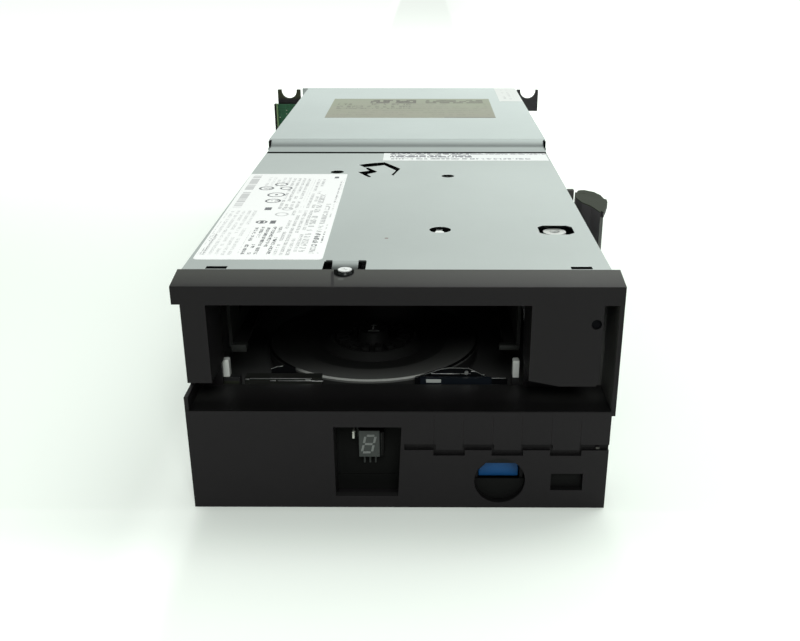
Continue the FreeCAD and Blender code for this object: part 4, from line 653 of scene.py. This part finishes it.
def small_paints():
    """The finishes of the smaller pieces, by name."""
    return {
        "dark_hub": glossy_hub(),
        "white_plastic": plain_plastic("white_plastic", (0.70, 0.71, 0.69), 0.42),
        "blue_plastic": eject_blue(),
        "display_grey": plain_plastic("display_grey", (0.040, 0.045, 0.043), 0.4, 0.1),
        "lamp_clear": plain_plastic("lamp_clear", (0.55, 0.55, 0.50), 0.2, 0.5),
        "chip_black": plain_plastic("chip_black", (0.016, 0.016, 0.017), 0.52),
        "segment_white": plain_plastic("segment_white", (0.19, 0.20, 0.195), 0.5),
        "socket_dark": plain_plastic("socket_dark", grey(0.006), 0.5, shine=0.1),
        "navy_film": plain_plastic("navy_film", (0.003, 0.0033, 0.004), 0.5, shine=0.06),
        "foot_olive": plain_plastic("foot_olive", (0.020, 0.022, 0.015), 0.5, shine=0.2),
        "rim_highlight": rim_highlight(),
        "edge_light": bright_steel("edge_light", (0.75, 0.76, 0.75), 0.3),
        "dull_grey": plain_plastic("dull_grey", (0.02, 0.021, 0.02), 0.5, shine=0.2),
        "shade_screen_black": plain_plastic("shade_screen_black", grey(0.003), 0.6, shine=0.15),
        "shade_fill_black": plain_plastic("shade_fill_black", (0.004, 0.004, 0.005), 0.9, shine=0.05),
        "hook_grey": plain_plastic("hook_grey", (0.062, 0.060, 0.056), 0.5, shine=0.2),
        "boss_lit_white": plain_plastic("boss_lit_white", (0.85, 0.87, 0.86), 0.5),
        "tag_white": plain_plastic("tag_white", (0.42, 0.44, 0.43), 0.6),
        "tab_grey": plain_plastic("tab_grey", (0.42, 0.45, 0.45), 0.5),
    }


def from_spindle(p):
    """How far a place is from the turntable's axis, how far across and along of it, and how high."""
    across, along, up = p.axes()
    low, high = span("supply_turntable")
    du, dv = across - (low[0] + high[0]) / 2, along - (low[1] + high[1]) / 2
    radius = (du * du + dv * dv).maths("SQRT")
    return radius, du, dv, up


def glossy_hub():
    """The dark turntable: smooth black moulding with faint turning rings, painted paler towards its near rim,
    where light from the opening falls on it.
    """
    p = Paint("dark_hub")
    radius, du, dv, up = from_spindle(p)
    rings = p.noise(1.4, 3.0, 0.6, where=p.combine(radius, 0.0))
    haze = p.noise(0.08, 3.0)
    towards = ((dv * -0.95 + du * 0.3) / radius.highest(1.0)).fade(0.1, 0.95)
    lit = radius.fade(16.0, 43.0) * towards * up.above(37.2)
    colour = p.mix((lit * 0.96 + haze * 0.04).clamped(), (0.018, 0.018, 0.018), (0.100, 0.101, 0.098))
    p.bump(rings, 0.04, 0.04)
    p.shader.inputs["Specular IOR Level"].default_value = 0.14
    return p.finish(Base_Color=colour, Roughness=0.34 + rings * 0.06 + haze * 0.06)


def rim_highlight():
    """The turntable's chamfer: a painted highlight where it faces the opening, dark elsewhere."""
    p = Paint("rim_highlight")
    radius, _, dv, _ = from_spindle(p)
    near = ((dv * -1.0) / radius).fade(0.70, 0.86)
    # the noise breaks up the painted highlight and varies the roughness
    worn = p.noise(0.7, 3.0, 0.6)
    colour = p.mix((near * (worn * 0.3 + 0.75)).clamped(), (0.003, 0.003, 0.003), (0.38, 0.385, 0.37))
    p.shader.inputs["Specular IOR Level"].default_value = 0.1
    return p.finish(Base_Color=colour, Roughness=0.35 + worn * 0.1)


def latch_head(across, along, up):
    """The cap of the latch, olive and darker than its sides."""
    return up.above(83.6)


def latch_flank_shade(across, along, up):
    """The latch's outer flank under its cap, painted darker as shade."""
    return across.above(81.35) * up.below(81.6)


def left_fork(across, along, up):
    """The left arm of the rear bracket."""
    return across.below(-60.0)


def fork_foot(across, along, up):
    """The shaded lower part of that arm."""
    return left_fork(across, along, up) * (1.0 - up.fade(78.0, 80.8))


def stiffener_streak(across, along, up):
    """The paler strip along the stiffener's inner side."""
    (left, _, _), (right, _, _) = span("card_stiffener")
    return across.above(left * 0.35 + right * 0.65) * up.above(60.0)


def screw_finish():
    """The screw on the front tongue: a bright worn top over a flank that lies in the shade of its bay."""
    p = Paint("screw_finish")
    across, along, up = p.axes()
    top = up.above(COVER_TOP - 0.12)
    worn = p.noise(1.5, 4.0, 0.6)
    u, v = across - SCREW[0], along - SCREW[1]
    slit = abs(u * 0.8 + v * 0.3).below(0.22) * abs(v).below(1.3)
    recess = slit.highest(disc_mask(u - 0.5, v, 0.4)) * 0.5
    bright = p.mix((worn.fade(0.35, 0.7) * 0.35).highest(recess), (0.95, 0.96, 0.96), (0.30, 0.31, 0.31))
    colour = p.mix(top, (0.012, 0.014, 0.014), bright)
    p.bump(worn, 0.1, 0.05)
    p.shader.inputs["Specular IOR Level"].default_value = 0.25
    return p.finish(Base_Color=colour, Metallic=top * 0.3, Roughness=worn * 0.1 + 0.3)


def paint_nodes():
    """Gives every carried-over node its material, by name or else by slot, and returns the small paints."""
    paints = small_paints()
    by_slot = {
        "black_moulding": moulded_black(),
        "zinc_sheet": zinc_sheet("zinc_sheet", (0.56, 0.58, 0.57)),
        "cast_metal": cast_metal(),
        "bright_steel": bright_steel(),
        "black_steel": black_paint(),
        "green_board": circuit_board("green_board", (0.006, 0.075, 0.028)),
        "label_white": strip_label(),
        "label_tan": rear_label(),
        **{key: paints[key] for key in ("dark_hub", "white_plastic", "blue_plastic", "display_grey",
                                        "lamp_clear", "chip_black")},
    }
    by_node = {
        "main_cover": zinc_sheet("zinc_cover", (0.535, 0.576, 0.565), cover_shade, (20.0, 150.0)),
        "rear_cover": zinc_sheet("zinc_rear", (0.682, 0.742, 0.732), rear_shade, (230.0, 430.0)),
        "information_label": information_label(),
        "corner_label": corner_label(),
        "bezel": moulded_black("bezel_black", 0.0088, 0.47, zones=BEZEL_ZONES),
        "side_latch": moulded_black("latch_black", 0.080, 0.5, gloss=0.06, zones=(
            (latch_head, (0.034, 0.041, 0.028)), (latch_flank_shade, (0.024, 0.026, 0.023)))),
        # the front card is painted near black: painted shade, for the shade of the display bay it sits behind
        "front_card": plain_plastic("front_card_shaded", (0.0065, 0.0068, 0.0065), 0.6, shine=0.1),
        "cartridge_tray": plain_plastic("tray_black", grey(0.014), 0.6, shine=0.1),
        "cartridge_spring": plain_plastic("spring_black", (0.016, 0.017, 0.015), 0.5, shine=0.2),
        "sensor_card": plain_plastic("sensor_navy", (0.006, 0.0085, 0.013), 0.5, shine=0.1),
        "front_screw": screw_finish(),
        "mechanism_deck": plain_plastic("deck_dark", grey(0.07), 0.6, shine=0.15),
        "logic_card": circuit_board("green_board_flat", (0.006, 0.075, 0.028), "xy"),
        "rear_bracket": moulded_black("bracket_black", 0.019, 0.5, gloss=0.4, zones=(
            (left_fork, (0.026, 0.031, 0.009)), (fork_foot, (0.003, 0.003, 0.004)))),
        "card_stiffener": moulded_black("stiffener_green", 0.006, 0.5, gloss=0.2, zones=(
            (stiffener_streak, (0.20, 0.30, 0.15)),)),
    }
    by_node["power_card"] = by_node["logic_card"]
    for part in frame["record"]["subparts"]:
        node = part["node"]
        material = by_node.get(node) or by_slot[part["material_slot"]]
        mesh = NODES[node].data
        mesh.materials.clear()
        mesh.materials.append(material)
    return paints


EDGE_ROUNDING = {
    "bezel": 0.2, "main_cover": 0.25, "rear_cover": 0.3, "rear_tray": 0.3, "chassis_base": 0.4,
    "rear_bracket": 0.35, "side_latch": 0.6, "eject_button": 0.5, "display_digit": 0.12,
    "guide_posts": 0.3, "interposer_card": 0.1, "cartridge_tray": 0.2, "rear_panel": 0.15,
    "latch_mount": 0.2, "front_card": 0.1, "fan_frame": 0.4, "library_connector": 0.25,
    "optical_ports": 0.15, "mechanism_deck": 0.3, "front_screw": 0.15, "tape_head": 0.3,
    "cartridge_spring": 0.1, "front_rail": 0.2, "card_stiffener": 0.2,
}


def soften_edges():
    """Rounds the sharp edges of carried-over nodes with live modifiers, which leave their meshes alone."""
    for node, width in EDGE_ROUNDING.items():
        piece = NODES[node]
        weld = piece.modifiers.new("weld", "WELD")
        weld.merge_threshold = 0.002 * MM
        flat = piece.modifiers.new("flat", "DECIMATE")
        flat.decimate_type = "DISSOLVE"
        flat.angle_limit = math.radians(0.6)
        bevel = piece.modifiers.new("edges", "BEVEL")
        bevel.width = width * MM
        bevel.segments = 2
        bevel.limit_method = "ANGLE"
        bevel.angle_limit = math.radians(38)
        bevel.use_clamp_overlap = True


# ---------------------------------------------------------------- small parts in mesh


def new_piece(name, mesh_maker, body, material):
    """Makes a piece in drive millimetres with a mesh maker, and puts it on a body."""
    bm = bmesh.new()
    mesh_maker(bm)
    bmesh.ops.translate(bm, vec=[offset * MM for offset in DRIVE_TO_ORIGIN], verts=bm.verts)
    mesh = bpy.data.meshes.new(name)
    bm.to_mesh(mesh)
    bm.free()
    for face in mesh.polygons:
        face.use_smooth = True
    mesh.set_sharp_from_angle(angle=math.radians(30))
    mesh.materials.append(material)
    piece = bpy.data.objects.new(name, mesh)
    bpy.context.scene.collection.objects.link(piece)
    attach(piece, body)
    return piece


def add_box(bm, low, high, bevel=0.0):
    """A box between two corners in millimetres, with its edges rounded."""
    size = [h - l for l, h in zip(low, high)]
    middle = [(h + l) / 2 for l, h in zip(low, high)]
    made = bmesh.ops.create_cube(bm, size=1.0)["verts"]
    bmesh.ops.scale(bm, vec=[s * MM for s in size], verts=made)
    bmesh.ops.translate(bm, vec=[m * MM for m in middle], verts=made)
    if bevel:
        edges = list({edge for vert in made for edge in vert.link_edges})
        bmesh.ops.bevel(bm, geom=edges, offset=bevel * MM, segments=2, profile=0.5, affect="EDGES",
                        material=-1)


def add_rod(bm, centre, radius, low, high, axis="z", top_radius=None):
    """A capped cylinder or cone, upright or along the drive, with its centre given on the other two axes."""
    made = bmesh.ops.create_cone(bm, cap_ends=True, segments=24, radius1=radius * MM,
                                 radius2=(radius if top_radius is None else top_radius) * MM,
                                 depth=(high - low) * MM)["verts"]
    turn = {"z": Matrix(), "y": Matrix.Rotation(math.radians(-90), 4, "X")}[axis]
    at = list(centre)
    at.insert("xyz".index(axis), (low + high) / 2)
    bmesh.ops.transform(bm, matrix=Matrix.Translation([a * MM for a in at]) @ turn, verts=made)


def boxes(*limits, bevel=0.0):
    """A mesh maker for boxes, each given as three pairs of limits: across, along and up."""
    def make(bm):
        for across, along, up in limits:
            add_box(bm, (across[0], along[0], up[0]), (across[1], along[1], up[1]), bevel)
    return make


def plate(outline, thickness):
    """A mesh maker for a flat plate: the face inside an outline, extruded by a vector in millimetres."""
    def make(bm):
        face = bm.faces.new([bm.verts.new([c * MM for c in point]) for point in outline])
        grown = bmesh.ops.extrude_face_region(bm, geom=[face])["geom"]
        verts = [part for part in grown if isinstance(part, bmesh.types.BMVert)]
        bmesh.ops.translate(bm, vec=[t * MM for t in thickness], verts=verts)
        bmesh.ops.recalc_face_normals(bm, faces=bm.faces[:])
    return make


def upright(top, bottom, near, far):
    """A mesh maker for an upright sheet between two lines, each given as across and up from left to right."""
    return plate([(x, near, z) for x, z in (*top, *reversed(bottom))], (0.0, far - near, 0.0))


# ---------------------------------------------------------------- what the covers and the bezel carry


def cover_details(paints):
    """Dark strips that stand in for the shade in the covers' gaps, the pressed boss under the largest hole,
    and the corner tab.
    """
    new_piece("cover_gap_shade_strip", boxes(((-72.8, 72.8), (209.2, 210.7), (81.8, 83.5))), "chassis",
              paints["shade_fill_black"])
    new_piece("riser_gap_shade_strips", boxes(*[((side * 74.0 - 0.5, side * 74.0 + 0.5), (227.9, 231.9), (80.9, 86.3))
                                     for side in (-1, 1)]), "chassis", paints["shade_fill_black"])

    # the boss is painted near white, lighter than the sheet, as painted light that lets it show in the shade
    # under the hole
    def boss(bm):
        add_rod(bm, (15.25, 63.9), 2.0, 81.9, 83.3, top_radius=1.8)
        add_box(bm, (14.0, 64.5, 81.9), (16.5, 75.0, 82.4))
        add_box(bm, (14.0, 74.4, 81.9), (16.5, 75.0, 83.05))
    new_piece("pressed_boss", boss, "chassis", paints["boss_lit_white"])
    new_piece("corner_tab", boxes(((-79.1, -74.0), (424.6, 426.2), (80.3, 86.7)), bevel=0.3), "chassis",
              paints["tab_grey"])


def screw_cap():
    """The thin rolled cap of the front screw, a little wider than the top of its cone."""
    new_piece("screw_cap", lambda bm: add_rod(bm, SCREW, 2.35, COVER_TOP - 0.1, COVER_TOP + 0.22), "chassis",
              finish_of("front_screw"))


def label_sheet():
    """The big label, a little askew and with rounded corners, in place of its plain rectangle."""
    (left, near, low), (right, far, high) = span("information_label")
    # each corner, its radius, and the signs that lead from it to the centre of its arc
    corners = ((left + 0.4, near, 1.8, 1, 1), (right + 0.85, near, 1.8, -1, 1),
               (right, far, 1.2, -1, -1), (left - 0.7, far, 1.2, 1, -1))
    outline = []
    for spot, (x, y, radius, inward_x, inward_y) in enumerate(corners):
        for step in range(7):
            turn = math.radians(180 + 90 * spot + 15 * step)
            outline.append((x + radius * (inward_x + math.cos(turn)),
                            y + radius * (inward_y + math.sin(turn)), low))
    sheet = new_piece("label_sheet", plate(outline, (0.0, 0.0, high - low)), "chassis",
                      finish_of("information_label"))
    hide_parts("information_label")


SEGMENT_SLANT = 0.22


def display_details(paints):
    """The seven slanted segments on the display's face, and its dark head."""
    left, right, low, high = -12.0, -8.4, 18.2, 24.95
    middle = (low + high) / 2
    half, gap, front, back = 0.42, 0.45, 7.54, 7.7

    def segments(bm):
        for level in (low, middle, high):
            add_box(bm, (left + gap, front, level - half), (right - gap, back, level + half), 0.05)
        for side in (left, right):
            for foot, top in ((low, middle), (middle, high)):
                add_box(bm, (side - half, front, foot + gap), (side + half, back, top - gap), 0.05)
        for vert in bm.verts:
            vert.co.x += (vert.co.z - middle * MM) * SEGMENT_SLANT
    new_piece("display_segments", segments, "chassis", paints["segment_white"])
    new_piece("display_head", boxes(((-13.8, -6.2), (7.7, 11.9), (26.8, 27.1)),
                                    ((-6.28, -4.8), (8.3, 11.9), (16.3, 26.0)), bevel=0.08),
              "chassis", paints["socket_dark"])


def bezel_details(paints):
    """What shows in the bezel's holes: dark screens and a dark disc that stand in for the shade behind them,
    the foot of the front card, a pin and the display's rim.
    """
    screen = (2.75, 3.1)
    new_piece("hole_shade_screens", boxes(((53.9, 65.7), screen, (7.0, 14.3)), ((27.4, 45.0), screen, (2.2, 10.5))),
              "chassis", paints["shade_screen_black"])
    new_piece("card_skirt", boxes(((-22.0, 2.2), (11.3, 11.95), (1.0, 7.2))), "chassis",
              finish_of("front_card"))
    new_piece("pin_hole_shade_disc", lambda bm: add_rod(bm, PIN_HOLE, 1.66, 0.9, 1.3, "y"), "chassis",
              paints["shade_fill_black"])
    new_piece("slit_pin", boxes(((69.2, 70.6), (0.35, 1.0), (23.7, 24.4)), bevel=0.15), "chassis",
              paints["hook_grey"])
    new_piece("display_rim", boxes(((-14.1, -13.8), (7.8, 8.2), (24.5, 28.4)),
                                   ((-5.7, -5.5), (8.1, 8.3), (16.8, 25.8)), bevel=0.05),
              "chassis", paints["dull_grey"])


# the top lines of the two guards beside the turntable, as across and up, and the height of their feet
LEFT_GUARD = ((-47.0, 41.2), (-44.6, 42.1), (-42.5, 42.4), (-40.3, 42.2), (-38.0, 41.4))
RIGHT_GUARD = ((6.1, 39.3), (9.8, 40.7), (12.5, 41.6), (15.6, 42.8), (18.9, 43.3), (25.7, 43.1), (29.0, 41.5),
               (32.7, 39.4), (40.0, 38.7))
GUARD_FOOT = 29.0
# the turntable's axis, as across and along
TURNTABLE = (-11.0, 67.2)


def slot_details(paints):
    """What shows in the tape opening: guards with painted highlights along their top edges, clips and tags
    before the turntable, and its rim with a painted highlight.
    """
    for name, top, near in (("left_guard", LEFT_GUARD, 29.6), ("right_guard", RIGHT_GUARD, 26.0)):
        foot = [(top[0][0], GUARD_FOOT), (top[-1][0], GUARD_FOOT)]
        new_piece(name, upright(top, foot, near, near + 0.6), "chassis", paints["navy_film"])
    # bright strips along the guards' top edges: painted highlights
    for name, top, width, near in (("left_guard_highlight", LEFT_GUARD[:3], 0.28, 29.5),
                                   ("right_guard_highlight", RIGHT_GUARD[:8], 0.2, 25.9)):
        new_piece(name, upright(top, [(x, z - width) for x, z in top], near, near + 0.2), "chassis",
                  paints["edge_light"])
    clips = [((-55.8, -54.2), (23.8, 24.6), (39.0, 39.6)), ((-54.0, -31.5), (24.0, 24.5), (39.4, 39.72)),
             ((-46.8, -44.6), (23.8, 24.5), (38.5, 39.0)), ((-44.0, -30.5), (23.9, 24.4), (38.65, 38.9)),
             ((-33.8, -31.9), (23.8, 24.6), (38.9, 39.7)), ((-31.5, -27.4), (23.9, 24.4), (38.5, 38.8)),
             ((12.0, 22.7), (25.7, 25.9), (40.8, 41.02)), ((22.9, 26.4), (25.8, 26.0), (40.8, 41.0)),
             ((26.6, 28.2), (25.9, 26.2), (41.6, 41.9)), ((30.3, 31.6), (25.9, 26.2), (40.2, 40.6)),
             ((33.5, 39.4), (25.7, 26.0), (39.0, 39.25))]
    new_piece("spring_clips", boxes(*clips, bevel=0.15), "chassis", paints["edge_light"])
    new_piece("sensor_tag", boxes(((10.2, 15.6), (23.2, 23.35), (38.5, 39.8))), "chassis",
              paints["tag_white"])
    new_piece("guard_rivet", lambda bm: add_rod(bm, (24.9, 41.4), 0.75, 25.4, 26.1, "y"), "chassis",
              paints["edge_light"])
    new_piece("left_foot_face", boxes(((-63.5, -57.8), (23.15, 23.38), (37.6, 39.05)), bevel=0.05), "chassis",
              paints["foot_olive"])

    def rim(bm):
        outer, inner, top, foot = 42.03, 41.30, 38.50, 37.98
        profile = ((outer - 0.1, foot - 0.05), (outer, foot), (inner, top), (inner - 0.2, top - 0.06))
        x, y = (c * MM for c in TURNTABLE)
        points = [bm.verts.new((x + r * MM, y, z * MM)) for r, z in profile]
        line = [bm.edges.new(pair) for pair in zip(points, points[1:])]
        bmesh.ops.spin(bm, geom=points + line, cent=(x, y, 0.0), axis=(0, 0, 1), angle=2 * math.pi,
                       steps=160, use_merge=True, use_normal_flip=True)
    new_piece("turntable_rim", rim, "supply_turntable", paints["rim_highlight"])
    blocks = [((-61.3, -55.6), (30.2, 33.6), (47.4, 50.3)), ((36.9, 44.3), (30.2, 33.6), (48.3, 50.3))]
    new_piece("tray_shoes", boxes(*blocks, bevel=0.35), "cartridge_tray", paints["dull_grey"])
    glints = [((-13.1, -8.5), (63.9, 64.6), (42.25, 42.45)), ((-11.4, -10.9), (66.0, 70.5), (42.25, 42.45)),
              ((-12.2, -10.0), (70.0, 70.4), (42.25, 42.4))]
    new_piece("chuck_glints", boxes(*glints, bevel=0.05), "supply_turntable",
              paints["tag_white"])


def latch_details(paints):
    """The ribs along the slanting tail of the latch, the plug in it, and the small hook behind it."""
    def ribs(bm):
        for along in (114.6, 117.2, 119.8, 122.4, 125.0):
            edge = 74.85 + (along - 115.7) * 0.16
            add_box(bm, (edge - 0.4, along, 58.0), (edge + 0.6, along + 1.1, 83.7), 0.12)
    new_piece("latch_ribs", ribs, "side_latch", finish_of("side_latch"))
    new_piece("latch_hook", boxes(((73.1, 76.1), (129.6, 132.4), (60.0, 83.8)), bevel=0.3), "chassis",
              paints["hook_grey"])
    new_piece("latch_plug", lambda bm: add_rod(bm, (78.2, 122.0), 1.52, 81.5, 83.95), "side_latch",
              finish_of("side_latch"))


# ---------------------------------------------------------------- studio


# the camera: its place in drive millimetres, its tilt and turn in degrees, and its lens
EYE = (9.6, -297.5, 187.2)
EYE_PITCH, EYE_YAW = 23.57, 0.29
LENS = 43.71
SHIFT = (-0.025, 0.05)
# how much the camera sees the floor glow at its places
FLOOR_LIFT, FLOOR_SIDE, FLOOR_LEFT, FLOOR_FAR, FLOOR_NEAR = 0.12, 0.35, 0.11, 0.45, 0.125
# how bright the room is behind the camera and beyond the drive
ROOM_FRONT, ROOM_BACK = 0.14, 0.58
LIGHT_TONE = (0.955, 1.0, 0.96)


def camera():
    """A view from a little right of the middle, looking down at the bezel and the covers."""
    data = bpy.data.cameras.new("camera")
    data.sensor_width = 36.0
    data.lens = LENS
    data.shift_x, data.shift_y = SHIFT
    data.clip_start, data.clip_end = 0.01, 20.0
    eye = bpy.data.objects.new("camera", data)
    eye.location = [(e + o) * MM for e, o in zip(EYE, DRIVE_TO_ORIGIN)]
    eye.rotation_euler = (math.radians(90 - EYE_PITCH), 0.0, math.radians(EYE_YAW))
    bpy.context.scene.collection.objects.link(eye)
    bpy.context.scene.camera = eye


def lamp(name, size, power, place, aim):
    """A soft square lamp at a place, aimed at a point, in metres."""
    data = bpy.data.lights.new(name, "AREA")
    data.size = size
    data.energy = power
    data.color = LIGHT_TONE
    made = bpy.data.objects.new(name, data)
    made.location = place
    made.rotation_euler = (Vector(aim) - Vector(place)).to_track_quat("-Z", "Y").to_euler()
    bpy.context.scene.collection.objects.link(made)


def floor():
    """A pale floor with a painted glow that only the camera sees: it keeps a soft shadow near the drive and
    burns out to white away from it.
    """
    bm = bmesh.new()
    bmesh.ops.create_grid(bm, x_segments=1, y_segments=1, size=6.0)
    (_, _, lowest), _ = CAD_BOX
    bmesh.ops.translate(bm, vec=(0, 0, lowest - 0.02 * MM), verts=bm.verts)
    mesh = bpy.data.meshes.new("floor")
    bm.to_mesh(mesh)
    bm.free()
    made = bpy.data.objects.new("floor", mesh)
    bpy.context.scene.collection.objects.link(made)
    p = Paint("floor")
    across, along, _ = p.axes()
    seen = Sum(p, p.tree.nodes.new("ShaderNodeLightPath").outputs["Is Camera Ray"])
    left, before = across * -1.0, along * -1.0
    side = across.fade(60.0, 260.0) * FLOOR_SIDE + left.fade(62.0, 84.0) * FLOOR_LEFT
    # painted glow, seen only by the camera, that lifts the floor's shadow just beside the drive's sides
    beside_glow = across.fade(70.0, 80.0) * (1.0 - across.fade(90.0, 160.0)) * 0.07
    beside_glow = beside_glow + left.fade(66.0, 74.0) * (1.0 - left.fade(82.0, 98.0)) * 0.09
    far = along.fade(191.6, 991.6) * FLOOR_FAR
    near = before.fade(8.0, 42.0) * FLOOR_NEAR + before.fade(0.0, 4.0) * 0.035
    p.finish(Base_Color=(0.76, 0.80, 0.76), Roughness=0.9)
    p.shader.inputs["Specular IOR Level"].default_value = 0.0
    p.shader.inputs["Emission Color"].default_value = (0.955, 1.0, 0.955, 1)
    p.feed(p.shader.inputs["Emission Strength"], seen * (side + beside_glow + far + near + FLOOR_LIFT))
    mesh.materials.append(p.material)


def world():
    """An even white room, dimmer behind the camera, that shows pure white to the camera."""
    made = bpy.data.worlds.new("room")
    made.use_nodes = True
    bpy.context.scene.world = made
    tree = made.node_tree
    back = tree.nodes["Background"]
    rays = tree.nodes.new("ShaderNodeLightPath")
    place = tree.nodes.new("ShaderNodeTexCoord")
    split = tree.nodes.new("ShaderNodeSeparateXYZ")
    tree.links.new(place.outputs["Generated"], split.inputs[0])
    depth = tree.nodes.new("ShaderNodeMapRange")
    for socket, number in zip(depth.inputs[1:5], (-0.9, 0.5, ROOM_FRONT, ROOM_BACK)):
        socket.default_value = number
    tree.links.new(split.outputs["Y"], depth.inputs[0])
    pick = tree.nodes.new("ShaderNodeMix")
    tree.links.new(rays.outputs["Is Camera Ray"], pick.inputs[0])
    tree.links.new(depth.outputs[0], pick.inputs[2])
    pick.inputs[3].default_value = 1.0
    tree.links.new(pick.outputs[0], back.inputs["Strength"])
    back.inputs["Color"].default_value = (0.96, 1, 0.965, 1)


paints = paint_nodes()
soften_edges()
cover_details(paints)
label_sheet()
screw_cap()
display_details(paints)
bezel_details(paints)
slot_details(paints)
latch_details(paints)
camera()
floor()
world()
lamp("overhead", 1.5, 15.0, (0.55, 0.75, 1.35), (0.0, 0.1, 0.0))
lamp("front_key", 0.5, 9.0, (0.12, -1.05, 0.88), (0.0, -0.05, 0.04))
bpy.context.scene.view_settings.view_transform = "Standard"
